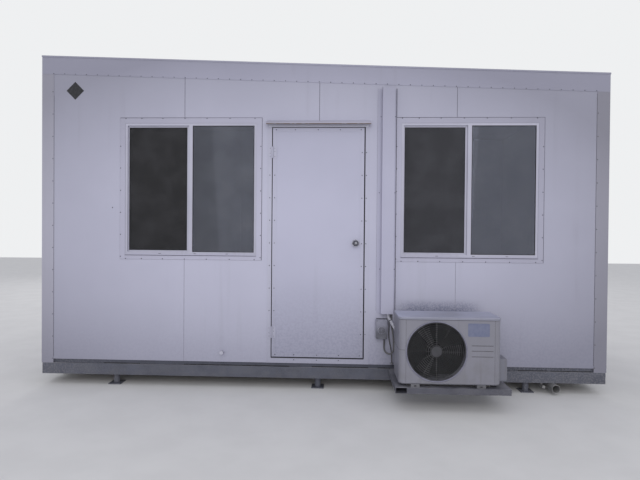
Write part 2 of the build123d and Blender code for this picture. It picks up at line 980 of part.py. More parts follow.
# Isolator: a weatherproof box with a lid, a turning switch on its face and a gland under it
iso_x0 = isolator_left
iso_x1 = isolator_left + isolator_width
iso_x = (iso_x0 + iso_x1) / 2
iso_z0 = chassis + isolator_bottom
iso_z1 = iso_z0 + isolator_height
iso_z = iso_z0 + dial_height
iso_face = face_y - isolator_reach
iso_split = iso_face + isolator_lid
gland_x = iso_x + gland_offset
gland_y = (iso_split + face_y) / 2
gland_base = iso_z0 - gland_length
with BuildPart() as isolator_box:
    block(iso_x0, iso_x1, iso_face, face_y, iso_z0, iso_z1)
    fillet(isolator_box.edges().filter_by(Axis.Y), radius=isolator_corner)
    chamfer(isolator_box.faces().sort_by(Axis.Y)[0].edges(), length=isolator_bevel)
    ring(
        iso_x0 - isolator_seam,
        iso_x1 + isolator_seam,
        iso_z0 - isolator_seam,
        iso_z1 + isolator_seam,
        2 * isolator_seam,
        iso_split,
        isolator_seam,
        mode=Mode.SUBTRACT,
    )
    with BuildSketch(facing(iso_face)):
        with Locations((iso_x, iso_z)):
            Circle(dial_radius + dial_rim)
    extrude(amount=dial_rim)
    with BuildSketch(Plane.XY.offset(gland_base)):
        with Locations((gland_x, gland_y)):
            RegularPolygon(gland_radius, 6)
    extrude(amount=gland_length)
write(isolator_box, "isolator_box")

with BuildPart() as isolator_switch:
    dial_back = iso_face - dial_rim - run_clearance
    with BuildSketch(facing(dial_back)):
        with Locations((iso_x, iso_z)):
            Circle(dial_radius)
    extrude(amount=dial_reach)
    with BuildSketch(facing(dial_back - dial_reach)):
        with Locations((iso_x, iso_z)):
            SlotOverall(handle_length, handle_width, rotation=90)
    extrude(amount=handle_reach)
write(isolator_switch, "isolator_switch")

# Air conditioner: shelf, feet, casing, lid, fan behind its guard, motor, coil and valve cover
unit_x0 = unit_left
unit_x1 = unit_x0 + unit_width
unit_y0 = front - unit_front
unit_y1 = unit_y0 + unit_depth
shelf_top = floor_level
shelf_base = shelf_top - shelf_height
unit_z0 = shelf_top + foot_height
unit_z1 = unit_z0 + unit_height
fan_x = unit_x0 + fan_centre
fan_z = unit_z0 + fan_height
shelf_x0 = shelf_left
shelf_x1 = shelf_x0 + shelf_width
shelf_front = front - shelf_reach

with BuildPart() as ac_shelf:
    block(shelf_x0, shelf_x0 + shelf_arm, shelf_front, front, shelf_base, shelf_top)
    block(
        shelf_x0 + shelf_steel,
        shelf_x0 + shelf_arm - shelf_steel,
        shelf_front,
        front - shelf_steel,
        shelf_base + shelf_steel,
        shelf_top - shelf_steel,
        mode=Mode.SUBTRACT,
    )
    block(shelf_x0 + shelf_arm, shelf_x1, shelf_front, shelf_front + rail_width, shelf_base, shelf_top)
    block(shelf_x1 - shelf_arm, shelf_x1, shelf_front + rail_width, front, shelf_base, shelf_top)
    block(
        shelf_x0 + shelf_arm,
        shelf_x1 - shelf_arm,
        unit_y1 - rail_width,
        unit_y1,
        shelf_base,
        shelf_top,
    )
write(ac_shelf, "ac_shelf")

with BuildPart() as ac_feet:
    for x in (unit_x0 + foot_inset_left, unit_x1 - foot_inset_right):
        block(
            x - foot_width / 2,
            x + foot_width / 2,
            unit_y0 - foot_front,
            unit_y1 + foot_back,
            shelf_top,
            unit_z0,
        )
write(ac_feet, "ac_feet")

with BuildPart() as ac_casing:
    with BuildSketch(Plane.XY.offset(unit_z0)):
        with Locations(((unit_x0 + unit_x1) / 2, (unit_y0 + unit_y1) / 2)):
            Rectangle(unit_width, unit_depth)
    extrude(amount=unit_height)
    fillet(ac_casing.edges().filter_by(Axis.Z).sort_by(Axis.Y)[:2], radius=unit_corner)
    offset(amount=-unit_sheet, openings=ac_casing.faces().sort_by(Axis.Z)[-1])
    with BuildSketch(facing(unit_y0 + collar_depth)):
        with Locations((fan_x, fan_z)):
            Circle(fan_ring_radius + unit_sheet)
    extrude(amount=collar_depth)
    with BuildSketch(facing(unit_y0 + collar_depth)):
        with Locations((fan_x, fan_z)):
            Circle(fan_ring_radius)
    extrude(amount=collar_depth, mode=Mode.SUBTRACT)
    block(
        unit_x0 + rear_cut_left,
        unit_x1 - rear_cut_right,
        unit_y1 - unit_sheet,
        unit_y1,
        unit_z0 + rear_cut_base,
        unit_z1 - rear_cut_top,
        mode=Mode.SUBTRACT,
    )
    for height in line_heights:
        block(
            unit_x1 - line_inset - line_width,
            unit_x1 - line_inset,
            unit_y0,
            unit_y0 + line_depth,
            unit_z0 + height,
            unit_z0 + height + line_height,
            mode=Mode.SUBTRACT,
        )
    for seam_x in (unit_x0 + seam_left_inset, unit_x1 - seam_right_inset):
        block(
            seam_x - seam_width / 2,
            seam_x + seam_width / 2,
            unit_y0,
            unit_y0 + line_depth,
            unit_z0,
            unit_z1,
            mode=Mode.SUBTRACT,
        )
write(ac_casing, "ac_casing")

with BuildPart() as ac_lid:
    with BuildSketch(Plane.XY.offset(unit_z1)):
        with Locations(((unit_x0 + unit_x1) / 2, (unit_y0 + unit_y1) / 2)):
            Rectangle(unit_width + 2 * lid_overhang, unit_depth + 2 * lid_overhang)
    extrude(amount=lid_height)
    fillet(ac_lid.edges().filter_by(Axis.Z).sort_by(Axis.Y)[:2], radius=unit_corner)
    fillet(ac_lid.faces().sort_by(Axis.Z)[-1].edges(), radius=lid_rounding)
write(ac_lid, "ac_lid")

# The guard is a set of flat rings on radial spokes round a plain boss
fan_face = Plane(origin=(fan_x, unit_y0 + guard_bar_depth, fan_z), x_dir=(1, 0, 0), z_dir=(0, -1, 0))


def disc(plane, outer, inner, thickness):
    """A flat ring, or a disc where inner is nothing, added to the part that is being built."""
    with BuildSketch(plane) as face:
        Circle(outer)
        if inner:
            Circle(inner, mode=Mode.SUBTRACT)
    extrude(face.sketch, amount=thickness)


with BuildPart() as ac_grille:
    ring_step = (fan_ring_radius - guard_hub_radius) / (guard_rings + 1)
    spoke_inner = guard_hub_radius / 2
    spoke_outer = fan_ring_radius - guard_rim_width / 2
    disc(fan_face, fan_ring_radius, fan_ring_radius - guard_rim_width, 2 * guard_bar_depth)
    for index in range(guard_rings):
        radius = guard_hub_radius + ring_step * (index + 1)
        with BuildSketch(fan_face.offset(guard_bar_depth)) as bar:
            RegularPolygon(radius, guard_sides)
            RegularPolygon(radius - guard_bar_width, guard_sides, mode=Mode.SUBTRACT)
        extrude(bar.sketch, amount=guard_bar_depth)
    with BuildSketch(fan_face) as spokes:
        with PolarLocations((spoke_outer + spoke_inner) / 2, guard_spokes):
            Rectangle(spoke_outer - spoke_inner, guard_bar_width)
    extrude(spokes.sketch, amount=guard_bar_depth)
    disc(fan_face, guard_hub_radius, 0, 2 * guard_bar_depth)
write(ac_grille, "ac_grille")

# Fan: three twisted blades on a hub, with the shaft that the motor holds
fan_front = unit_y0 + fan_setback
motor_front = fan_front + hub_depth + motor_gap
motor_back = motor_front + motor_depth


def facing_back(y):
    """A plane at y through the fan's centre whose normal looks to the back."""
    return Plane(origin=(fan_x, y, fan_z), x_dir=(-1, 0, 0), z_dir=(0, 1, 0))


with BuildPart() as ac_fan:
    disc(facing_back(fan_front), hub_radius, 0, hub_depth)
    disc(facing_back(fan_front), shaft_radius, 0, hub_depth + motor_gap + motor_depth / 2)
    for turn in (0, 120, 240):
        blade_plane = Plane(
            origin=(fan_x, fan_front + hub_depth / 2, fan_z),
            x_dir=(0, 1, 0),
            z_dir=(math.cos(math.radians(turn)), 0, math.sin(math.radians(turn))),
        )
        with BuildSketch(blade_plane.offset(hub_radius * 0.8)) as root:
            Rectangle(blade_thickness, blade_root, rotation=blade_root_twist)
        with BuildSketch(blade_plane.offset(blade_radius)) as tip:
            Rectangle(blade_thickness, blade_tip, rotation=blade_tip_twist)
        loft([root.sketch.face(), tip.sketch.face()])
write(ac_fan, "ac_fan")

# Motor: a can on a pair of straps between the floor and the top of the casing
with BuildPart() as ac_motor:
    disc(facing_back(motor_front), motor_radius, shaft_radius + run_clearance, motor_depth)
    for x in (fan_x - motor_radius / 2 - strap_width, fan_x + motor_radius / 2):
        block(x, x + strap_width, motor_back, motor_back + unit_sheet, unit_z0 + unit_sheet, unit_z1)
write(ac_motor, "ac_motor")

# Coil: a finned block behind the opening in the back of the casing
with BuildPart() as ac_coil:
    block(
        unit_x0 + unit_sheet,
        unit_x1 - coil_end,
        unit_y1 - unit_sheet - coil_thickness,
        unit_y1 - unit_sheet,
        unit_z0 + unit_sheet,
        unit_z1,
    )
write(ac_coil, "ac_coil")

# Valve cover: a moulded box on the right side of the casing
cover_back = unit_y0 + valve_cover_setback + valve_cover_depth
cover_base = unit_z0 + valve_cover_rise
with BuildPart() as ac_valve_cover:
    block(
        unit_x1,
        unit_x1 + valve_cover_width,
        unit_y0 + valve_cover_setback,
        cover_back,
        cover_base,
        cover_base + valve_cover_height,
    )
    fillet(ac_valve_cover.faces().sort_by(Axis.X)[-1].edges(), radius=valve_cover_rounding)
write(ac_valve_cover, "ac_valve_cover")

# Refrigerant pipe: an insulated tube out of the duct's open foot, behind the casing and into the
# back of the valve cover
cover_x = unit_x1 + valve_cover_width / 2
pipe_y = (unit_y1 + front) / 2
with BuildPart() as refrigerant_pipe:
    with BuildLine() as route:
        FilletPolyline(
            (pipe_x, pipe_start_y, duct_z0 + pipe_lap),
            (pipe_x, pipe_start_y, duct_z0 - pipe_drop),
            (unit_x0 + pipe_bend_radius, pipe_y, unit_z0 + pipe_turn_height),
            (cover_x, pipe_y, unit_z0 + pipe_entry),
            (cover_x, cover_back, unit_z0 + pipe_entry),
            radius=pipe_bend_radius,
        )
    with BuildSketch(Plane(origin=route.line @ 0, z_dir=route.line % 0)):
        Circle(pipe_radius)
    sweep(path=route.wire())
write(refrigerant_pipe, "refrigerant_pipe")


def limp_tube(label, points, radius):
    """A bendy tube through these points: straight runs with a tangent arc at every bend."""
    corners = [Vector(*point) for point in points]
    radii = []
    with BuildPart() as tube:
        with BuildLine() as run:
            start = corners[0]
            for before, corner, after in zip(corners, corners[1:], corners[2:]):
                reach = bend_share * min((before - corner).length, (after - corner).length)
                toward = (before - corner).normalized()
                away = (after - corner).normalized()
                bend_radius = reach * math.tan(math.radians(toward.get_angle(away) / 2))
                middle = (toward + away).normalized() * (math.hypot(bend_radius, reach) - bend_radius)
                Line(start, corner + toward * reach)
                ThreePointArc(corner + toward * reach, corner + middle, corner + away * reach)
                start = corner + away * reach
                radii.append(round(bend_radius))
            Line(start, corners[-1])
        with BuildSketch(Plane(origin=corners[0], z_dir=corners[1] - corners[0])):
            Circle(radius)
        sweep(path=run.wire())
    print(label, "length", round(run.wire().length), "bend radii", radii)
    write(tube, label)


# Flexible conduit: down from the isolator's gland, round in a loop and up into the duct's plug
slant = math.sqrt(0.5)
loop_x = conduit_turn * 0.776
loop_y = -conduit_turn * 0.63
loop_z = gland_base - conduit_fall
low_z = loop_z - conduit_turn * slant
near_x = gland_x - conduit_radius / 3
far_x = near_x + loop_x * (1 + 2 * slant)
far_y = gland_y + loop_y * (1 + 2 * slant)
conduit_end_x = duct_x1 - sheet - 1.5 * conduit_radius
conduit_end_y = front - 2 * conduit_radius
limp_tube(
    "power_conduit",
    (
        (gland_x, gland_y, gland_base),
        (gland_x, gland_y, gland_base - conduit_drop),
        (near_x, gland_y, loop_z),
        (near_x + loop_x * slant, gland_y + loop_y * slant, low_z),
        (near_x + loop_x * (1 + slant), gland_y + loop_y * (1 + slant), low_z),
        (far_x, far_y, loop_z),
        (far_x + conduit_radius / 3, far_y + conduit_radius, loop_z + conduit_climb),
        (far_x - conduit_radius / 2, far_y + 3.5 * conduit_radius, plug_base - 2.45 * conduit_climb),
        (conduit_end_x, conduit_end_y, plug_base - 1.28 * conduit_climb),
        (conduit_end_x, conduit_end_y, plug_base),
    ),
    conduit_radius,
)

# Condensate hose: down the wall from the duct's plug into a saddle clip above the shelf
hose_x = conduit_end_x - conduit_radius - 2 * hose_radius
hose_y = front - 2 * hose_radius
hose_z = chassis + hose_end
hose_step = (plug_base - hose_z) / 4
clip_x = shelf_x0 + 5 * hose_radius
limp_tube(
    "condensate_hose",
    (
        (hose_x, hose_y, plug_base),
        (hose_x, hose_y, plug_base - hose_step),
        (hose_x - hose_radius / 2, hose_y, plug_base - 2 * hose_step),
        (clip_x, hose_y, hose_z + hose_step),
        (clip_x, hose_y, hose_z),
    ),
    hose_radius,
)

with BuildPart() as hose_clip:
    block(
        clip_x - clip_width / 2,
        clip_x + clip_width / 2,
        front + sheet - clip_steel,
        front + sheet,
        hose_z,
        hose_z + clip_height,
    )
    with BuildSketch(Plane.XY.offset(hose_z)):
        with Locations((clip_x, hose_y)):
            Circle(hose_radius + clip_steel)
            Rectangle(2 * (hose_radius + clip_steel), front - hose_y, align=(Align.CENTER, Align.MIN))
            Circle(hose_radius + run_clearance, mode=Mode.SUBTRACT)
    extrude(amount=clip_height)
write(hose_clip, "hose_clip")

# Drain pipes under the floor and a capped stub on the wall
waste_z = chassis - waste_radius
with BuildPart() as drain_pipes:
    with BuildSketch(facing(front - waste_reach + waste_run)):
        with Locations((waste_x, waste_z)):
            Circle(waste_radius)
            Circle(waste_radius - waste_wall, mode=Mode.SUBTRACT)
    extrude(amount=waste_run)
    small_x = waste_x - waste_radius - small_waste_gap - small_waste_radius
    with BuildSketch(facing(front + waste_run)):
        with Locations((small_x, waste_z)):
            Circle(small_waste_radius)
    extrude(amount=waste_run)
    for hanger_y in (front + hanger_setback, front + waste_run - hanger_setback - hanger_depth):
        block(
            small_x - hanger_width / 2,
            small_x + hanger_width / 2,
            hanger_y,
            hanger_y + hanger_depth,
            waste_z,
            chassis,
        )
    with BuildSketch(facing(front + sheet)):
        with Locations((stub_x, chassis + stub_height)):
            Circle(stub_radius)
    extrude(amount=stub_reach)
write(drain_pipes, "drain_pipes")
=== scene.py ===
import math
import bmesh
import bpy
from mathutils import Matrix, Vector


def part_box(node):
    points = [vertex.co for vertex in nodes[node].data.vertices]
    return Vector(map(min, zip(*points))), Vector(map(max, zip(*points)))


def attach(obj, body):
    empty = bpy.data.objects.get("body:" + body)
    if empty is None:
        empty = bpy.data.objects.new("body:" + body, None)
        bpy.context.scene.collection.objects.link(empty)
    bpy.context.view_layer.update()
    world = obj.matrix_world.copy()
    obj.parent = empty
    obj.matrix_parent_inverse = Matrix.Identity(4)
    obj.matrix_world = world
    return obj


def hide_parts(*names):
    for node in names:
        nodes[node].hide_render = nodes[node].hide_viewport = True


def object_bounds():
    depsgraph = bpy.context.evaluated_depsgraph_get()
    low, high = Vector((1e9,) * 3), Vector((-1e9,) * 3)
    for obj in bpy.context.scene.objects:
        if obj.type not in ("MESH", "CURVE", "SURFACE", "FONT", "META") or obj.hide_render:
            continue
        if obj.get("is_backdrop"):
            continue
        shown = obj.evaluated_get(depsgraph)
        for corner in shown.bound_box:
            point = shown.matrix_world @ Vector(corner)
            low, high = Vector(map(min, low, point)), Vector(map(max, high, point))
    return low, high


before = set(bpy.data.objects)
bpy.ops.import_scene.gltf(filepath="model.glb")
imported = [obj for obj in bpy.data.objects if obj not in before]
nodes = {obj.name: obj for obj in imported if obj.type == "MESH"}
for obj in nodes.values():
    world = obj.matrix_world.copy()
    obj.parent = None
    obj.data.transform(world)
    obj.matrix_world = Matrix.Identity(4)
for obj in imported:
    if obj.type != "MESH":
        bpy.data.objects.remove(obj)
cad_low, cad_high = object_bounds()


# Viewpoint: a standing person's eye, a little right of the cabin's middle and four metres from its
# front, turned and tilted as the photograph is.
front_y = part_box("front_beam")[0].y
ground_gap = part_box("front_beam")[0].z
eye_offset = 0.17236
eye_distance = 4.1441
eye_height = 1.2702
yaw = math.radians(-2.2039)
pitch = math.radians(-0.6050)
roll = math.radians(0.4686)


def put(name, data):
    """A new object that carries this data, in the scene."""
    made = bpy.data.objects.new(name, data)
    bpy.context.scene.collection.objects.link(made)
    return made


camera_data = bpy.data.cameras.new("viewpoint")
camera_data.sensor_width = 36.0
camera_data.lens = 26.439
camera_data.clip_end = 60.0
viewpoint = put("viewpoint", camera_data)
eye = Matrix.Translation((eye_offset, front_y - eye_distance, ground_gap + eye_height))
aim = Matrix.Rotation(-yaw, 4, "Z") @ Matrix.Rotation(math.pi / 2 + pitch, 4, "X")
viewpoint.matrix_world = eye @ aim @ Matrix.Rotation(roll, 4, "Z")
bpy.context.scene.camera = viewpoint
bpy.context.scene.view_settings.view_transform = "Standard"


# Floor and light: a pale studio floor under an even sky, one broad soft lamp low in front of the
# cabin and a weaker one behind it, so that every side is lit plainly.
def wire(socket, value):
    """Feed a socket from another node's output, or write a plain value or a colour on it."""
    if isinstance(value, bpy.types.NodeSocket):
        socket.id_data.links.new(value, socket)
    elif socket.type == "RGBA":
        socket.default_value = (*value, 1.0)
    else:
        socket.default_value = value


def add_node(kind, inputs, tree=None, **settings):
    """A node with its inputs and settings, in the tree that feeds it unless one is given."""
    feeds = [value for value in inputs.values() if isinstance(value, bpy.types.NodeSocket)]
    made = (tree or feeds[0].id_data).nodes.new(kind)
    for name, value in settings.items():
        setattr(made, name, value)
    for key, value in inputs.items():
        wire(made.inputs[key], value)
    return made


def maths(operation, first, second=0.0):
    return add_node("ShaderNodeMath", {0: first, 1: second}, operation=operation).outputs[0]


def times(first, second):
    return maths("MULTIPLY", first, second)


def span(value, low, high, out_low=0.0, out_high=1.0):
    """A value carried smoothly from one range into another and held at its ends."""
    inputs = {"Value": value, "From Min": low, "From Max": high, "To Min": out_low, "To Max": out_high}
    return add_node("ShaderNodeMapRange", inputs, interpolation_type="SMOOTHSTEP").outputs["Result"]


def noise(place, scale, detail=3.0, roughness=0.55):
    inputs = {"Vector": place, "Scale": scale, "Detail": detail, "Roughness": roughness}
    return add_node("ShaderNodeTexNoise", inputs).outputs["Fac"]


def blend(share, first, second, kind="MIX"):
    settings = {"data_type": "RGBA", "blend_type": kind, "clamp_factor": True}
    return add_node("ShaderNodeMix", {0: share, 6: first, 7: second}, **settings).outputs[2]


def paint(shader, base, *layers):
    """Colour a shader with a base and the layers on it, each a mask, its share and its colour."""
    for mask, share, tone in layers:
        base = blend(times(mask, share), base, tone)
    wire(shader.inputs["Base Color"], base)


def new_finish(name, roughness, metallic=0.0):
    """A material with its shader and object coordinates, ready to be fed."""
    material = bpy.data.materials.new(name)
    material.use_nodes = True
    shader = material.node_tree.nodes["Principled BSDF"]
    shader.inputs["Metallic"].default_value = metallic
    shader.inputs["Roughness"].default_value = roughness
    return material, shader, material.node_tree.nodes.new("ShaderNodeTexCoord").outputs["Object"]


floor_mesh = bpy.data.meshes.new("pale_floor")
floor_mesh.from_pydata([(-20, -20, 0), (20, -20, 0), (20, 20, 0), (-20, 20, 0)], [], [(0, 1, 2, 3)])
pale_floor = put("pale_floor", floor_mesh)
floor_finish, shader, place = new_finish("pale_floor", 0.9)
shader.inputs["Specular IOR Level"].default_value = 0.1
floor_tone = span(noise(place, 3.0), 0.3, 0.7)
paint(shader, blend(floor_tone, (0.62, 0.62, 0.63), (0.65, 0.65, 0.66)))
floor_mesh.materials.append(floor_finish)
pale_floor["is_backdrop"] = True

sky = bpy.data.worlds.new("even_sky")
sky.use_nodes = True
bpy.context.scene.world = sky
tree = sky.node_tree
rays = tree.nodes.new("ShaderNodeLightPath")
seen = maths("MAXIMUM", rays.outputs["Is Camera Ray"], rays.outputs["Is Transmission Ray"])
seen = maths("MAXIMUM", seen, rays.outputs["Is Glossy Ray"])
sky_light = tree.nodes["Background"]
wire(sky_light.inputs["Color"], (0.95, 0.96, 1.0))
sky_light.inputs["Strength"].default_value = 0.78
backdrop = {"Color": (0.86, 0.87, 0.88), "Strength": 1.0}
sky_seen = add_node("ShaderNodeBackground", backdrop, tree)
skies = {0: seen, 1: sky_light.outputs[0], 2: sky_seen.outputs[0]}
sky_choice = add_node("ShaderNodeMixShader", skies)
wire(tree.nodes["World Output"].inputs["Surface"], sky_choice.outputs[0])

for label, spot, target, size, power in (
    ("front_lamp", (0.3, -11.0, 4.2), (0.1, -1.0, 1.5), 8.0, 495.0),
    ("back_lamp", (-2.0, 10.0, 4.5), (0.0, 1.5, 1.4), 7.0, 330.0),
):
    lamp_data = bpy.data.lights.new(label, "AREA")
    lamp_data.size = size
    lamp_data.energy = power
    lamp_data.color = (1.0, 0.98, 0.96)
    lamp = put(label, lamp_data)
    lamp.location = spot
    lamp.rotation_euler = (Vector(target) - Vector(spot)).to_track_quat("-Z", "Y").to_euler()
    lamp.visible_glossy = False


# Chassis: cold-formed channels, hot-dip galvanised and welded into a frame on six legs; they have
# gone dull, with dust mottled over the ends, a pale line along the top edges that is dust and
# painted highlight, and rust where the zinc is thin.
def axis_of(place, axis):
    return add_node("ShaderNodeSeparateXYZ", {0: place}).outputs[axis]


def apart(place, axis, middle):
    """Distance of a place from a middle along one axis."""
    return maths("ABSOLUTE", maths("SUBTRACT", axis_of(place, axis), middle))


def scaled(place, factors):
    """Coordinates multiplied along each axis by its own factor."""
    return add_node("ShaderNodeVectorMath", {0: place, 1: factors}, operation="MULTIPLY").outputs[0]


def effect_group(name, inputs, outputs):
    """An empty shader group: a place, named numbers in, and named values out."""
    group = bpy.data.node_groups.new(name, "ShaderNodeTree")
    group.interface.new_socket("Place", in_out="INPUT", socket_type="NodeSocketVector")
    for label, value in inputs:
        made = group.interface.new_socket(label, in_out="INPUT", socket_type="NodeSocketFloat")
        made.default_value = value
    for label in outputs:
        group.interface.new_socket(label, in_out="OUTPUT", socket_type="NodeSocketFloat")
    given = group.nodes.new("NodeGroupInput").outputs
    return group, given["Place"], given, group.nodes.new("NodeGroupOutput").inputs


def use_group(group, place, **inputs):
    made = place.id_data.nodes.new("ShaderNodeGroup")
    made.node_tree = group
    wire(made.inputs["Place"], place)
    for label, value in inputs.items():
        made.inputs[label].default_value = value
    return made.outputs


def add_bump(shader, height, distance):
    bump = add_node("ShaderNodeBump", {"Height": height, "Distance": distance})
    wire(shader.inputs["Normal"], bump.outputs[0])


def dress(material, *names):
    """Give CAD pieces their finish."""
    for name in names:
        nodes[name].material_slots[0].material = material


# Dust thrown up from the ground, thickest at the bottom and patchy
splash_inputs = ("Reach", 0.6), ("Scale", 6.0), ("Evenness", 0.0)
splash_dust, place, given, out = effect_group("splash dust", splash_inputs, ["Mask"])
share = maths("DIVIDE", axis_of(place, "Z"), given["Reach"])
patches = span(noise(place, given["Scale"], 5.0, 0.65), 0.35, 0.68)
patches = span(patches, 0.0, 1.0, given["Evenness"], 1.0)
low_share = span(share, 0.1, 1.0, 1.0, 0.0)
wire(out["Mask"], times(low_share, patches))

# Rust that blooms in spots where the coat is thin
rust_bloom, place, given, out = effect_group("rust bloom", [("Scale", 14.0), ("Threshold", 0.6)], ["Mask"])
spots = noise(place, given["Scale"], 6.0, 0.7)
ripe = maths("ADD", given["Threshold"], 0.09)
wire(out["Mask"], span(spots, given["Threshold"], ripe))

# Dried splashes that mottle the ends of the chassis
dried_splash, place, given, out = effect_group("dried splash", [("Middle", -0.3), ("Start", 1.3)], ["Mask"])
away = apart(place, "X", given["Middle"])
far = maths("ADD", given["Start"], 0.9)
fleck = span(noise(place, 70.0, 2.0), 0.47, 0.60)
wire(out["Mask"], times(span(away, given["Start"], far), fleck))


def weathered_zinc(name, dark, pale, rust_threshold, dust_reach, ledge=0.0):
    """Dull zinc: cloudy, spangled, dusty from below and rusting; ledge is the height of a top edge,
    where a pale band is dust and painted highlight.
    """
    material, shader, place = new_finish(name, 0.62, 0.15)
    flakes = {"Vector": place, "Scale": 130.0, "Randomness": 1.0}
    spangle = add_node("ShaderNodeTexVoronoi", flakes, feature="F1").outputs["Distance"]
    cloud = span(noise(place, 5.0, 5.0, 0.65), 0.32, 0.7)
    base = blend(cloud, dark, pale)
    glint = [1.3 * part for part in pale]
    base = blend(span(spangle, 0.0, 0.9, 0.0, 0.3), base, glint)
    dust = use_group(splash_dust, place, Reach=dust_reach, Scale=8.0)["Mask"]
    layers = [(dust, 0.3, (0.150, 0.150, 0.162))]
    if ledge:
        layers.append((use_group(dried_splash, place)["Mask"], 0.38, (0.21, 0.21, 0.235)))
        # a pale band along the top edge: dust lying on it and painted highlight
        ledge_dust_and_highlight = span(axis_of(place, "Z"), ledge - 0.003, ledge, 0.0, 0.8)
        layers.append((ledge_dust_and_highlight, span(noise(place, 2.5, 3.0), 0.35, 0.6), (0.24, 0.24, 0.27)))
    rust = use_group(rust_bloom, place, Scale=11.0, Threshold=rust_threshold)["Mask"]
    paint(shader, base, *layers, (rust, 0.7, (0.105, 0.060, 0.038)))
    wire(shader.inputs["Roughness"], span(cloud, 0.0, 1.0, 0.5, 0.78))
    add_bump(shader, noise(place, 260.0, 3.0), 0.0004)
    return material


beam_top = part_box("front_beam")[1].z
track_top = beam_top + 0.035
beam_tones = (0.061, 0.064, 0.084), (0.100, 0.105, 0.134)
chassis_zinc = weathered_zinc("chassis_zinc", *beam_tones, 0.68, 0.4, beam_top)
track_tones = (0.044, 0.047, 0.063), (0.086, 0.090, 0.118)
track_zinc = weathered_zinc("track_zinc", *track_tones, 0.70, 0.25, track_top)
dress(chassis_zinc, "front_beam", "rear_beam", "end_beams", "floor_joists", "legs")
dress(track_zinc, "bottom_tracks")


# Packers: strips of black damp-proof course laid between the wall's bottom track and the beam,
# trimmed by hand, so that they show in stretches; they are also painted shade of that joint.
def settle(piece, body="cabin"):
    """Let a new piece ride on its body."""
    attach(piece, body)
    return piece


def shape_piece(name, shape, finish, body="cabin"):
    """Keep a built shape as a finished piece."""
    mesh = bpy.data.meshes.new(name)
    shape.to_mesh(mesh)
    shape.free()
    mesh.materials.append(finish)
    return settle(put(name, mesh), body)


def blocks(name, boxes, finish, body="cabin", soften=0.0):
    """Square-edged pieces, each given by its lowest and highest corners, as one mesh."""
    shape = bmesh.new()
    for low, high in boxes:
        size = [top - bottom for bottom, top in zip(low, high)]
        middle = [(top + bottom) / 2 for bottom, top in zip(low, high)]
        place_matrix = Matrix.Translation(middle) @ Matrix.Diagonal((*size, 1.0))
        bmesh.ops.create_cube(shape, size=1.0, matrix=place_matrix)
    if soften:
        bmesh.ops.bevel(shape, geom=shape.edges[:], offset=soften, segments=2, affect="EDGES")
    return shape_piece(name, shape, finish, body)


def mottled(name, roughness, dark, pale, patch, depth, grain=None, metallic=0.0):
    """Two tones in patches of noise; the bump follows them unless it has a grain of its own."""
    material, shader, place = new_finish(name, roughness, metallic)
    *pattern, low, high = patch  # the noise's numbers, then the limits that part the tones
    tone = span(noise(place, *pattern), low, high)
    paint(shader, blend(tone, dark, pale))
    add_bump(shader, noise(place, *grain) if grain else tone, depth)
    return material


# black strips along the joint: damp course and painted shade
strip_tones = (0.018, 0.018, 0.022), (0.045, 0.045, 0.052)
damp_course_and_shade = mottled("damp_course_and_shade", 0.8, *strip_tones, (50.0, 4.0, 0.35, 0.7), 0.0005)
track_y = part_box("bottom_tracks")[0].y
stretches = ((-1.93, -1.60), (-1.20, -0.25), (-0.05, 0.45), (0.53, 0.64), (1.75, 2.01), (2.03, 2.38))
packer_y = track_y - 0.006, track_y + 0.0008
boxes = [((x0, packer_y[0], beam_top), (x1, packer_y[1], beam_top + 0.0065)) for x0, x1 in stretches]
blocks("damp_course_shade_strips", boxes, damp_course_and_shade, soften=0.0006)


# Floor deck: film-faced plywood sheets on the joists, with the grain along the cabin and scuffs
# where people walk.
deck_ply, shader, place = new_finish("deck_ply", 0.5)
grain = span(noise(scaled(place, (2.0, 26.0, 26.0)), 1.0, 6.0, 0.6), 0.3, 0.7)
scuff = span(noise(place, 4.0, 5.0, 0.7), 0.45, 0.75)
base = blend(grain, (0.10, 0.062, 0.038), (0.17, 0.115, 0.07))
paint(shader, base, (scuff, 0.5, (0.24, 0.22, 0.19)))
add_bump(shader, grain, 0.0005)
dress(deck_ply, "floor_deck")


# Walls: sandwich panels of coated sheet on a foam core, stood edge to edge in the track; the paint
# is a cool off-white, and painted light makes it brightest in the middle of the front and duller
# towards the ground, the roof and the ends.
skin_inputs = ("Grain", 900.0), ("Wave", 2.2)
paint_skin, place, given, out = effect_group("paint skin", skin_inputs, ["Height", "Tone"])
grain_share = times(noise(place, given["Grain"], 2.0), 0.0002)
wave_share = times(noise(place, given["Wave"], 2.0), 0.006)
wire(out["Height"], maths("ADD", grain_share, wave_share))
wire(out["Tone"], span(noise(place, 1.3), 0.3, 0.7))

# Streaks that rain draws down a wall
rain_streaks, place, given, out = effect_group("rain streaks", [("Width", 9.0), ("Length", 0.5)], ["Mask"])
drawn_out = {"X": given["Width"], "Y": given["Width"], "Z": given["Length"]}
factors = add_node("ShaderNodeCombineXYZ", drawn_out)
drawn = noise(scaled(place, factors.outputs[0]), 1.0, 4.0, 0.6)
broken = span(noise(place, 1.7, 2.0), 0.4, 0.65)
wire(out["Mask"], times(span(drawn, 0.5, 0.72), broken))


def reach_from(place, middle, factors):
    """Distance from a middle, with each axis weighed by its own factor."""
    moved = add_node("ShaderNodeVectorMath", {0: place, 1: middle}, operation="SUBTRACT")
    weighed = scaled(moved.outputs[0], factors)
    return add_node("ShaderNodeVectorMath", {0: weighed}, operation="LENGTH").outputs["Value"]


# Painted light: the coat's brightness falls away from a bright middle on the front
painted_light_falloff, place, given, out = effect_group("painted_light_falloff", [("Loss", 0.28)], ["Tone"])
reach = reach_from(place, (-0.25, 0.0, 1.38), (1 / 2.6, 0.0, 1 / 1.32))
loss = times(maths("POWER", reach, 2.2), given["Loss"])
wire(out["Tone"], maths("MAXIMUM", maths("SUBTRACT", 1.0, loss), 0.55))


def right_share(place):
    """Share that grows from the left window towards the right end."""
    return span(axis_of(place, "X"), -0.6, 1.2)


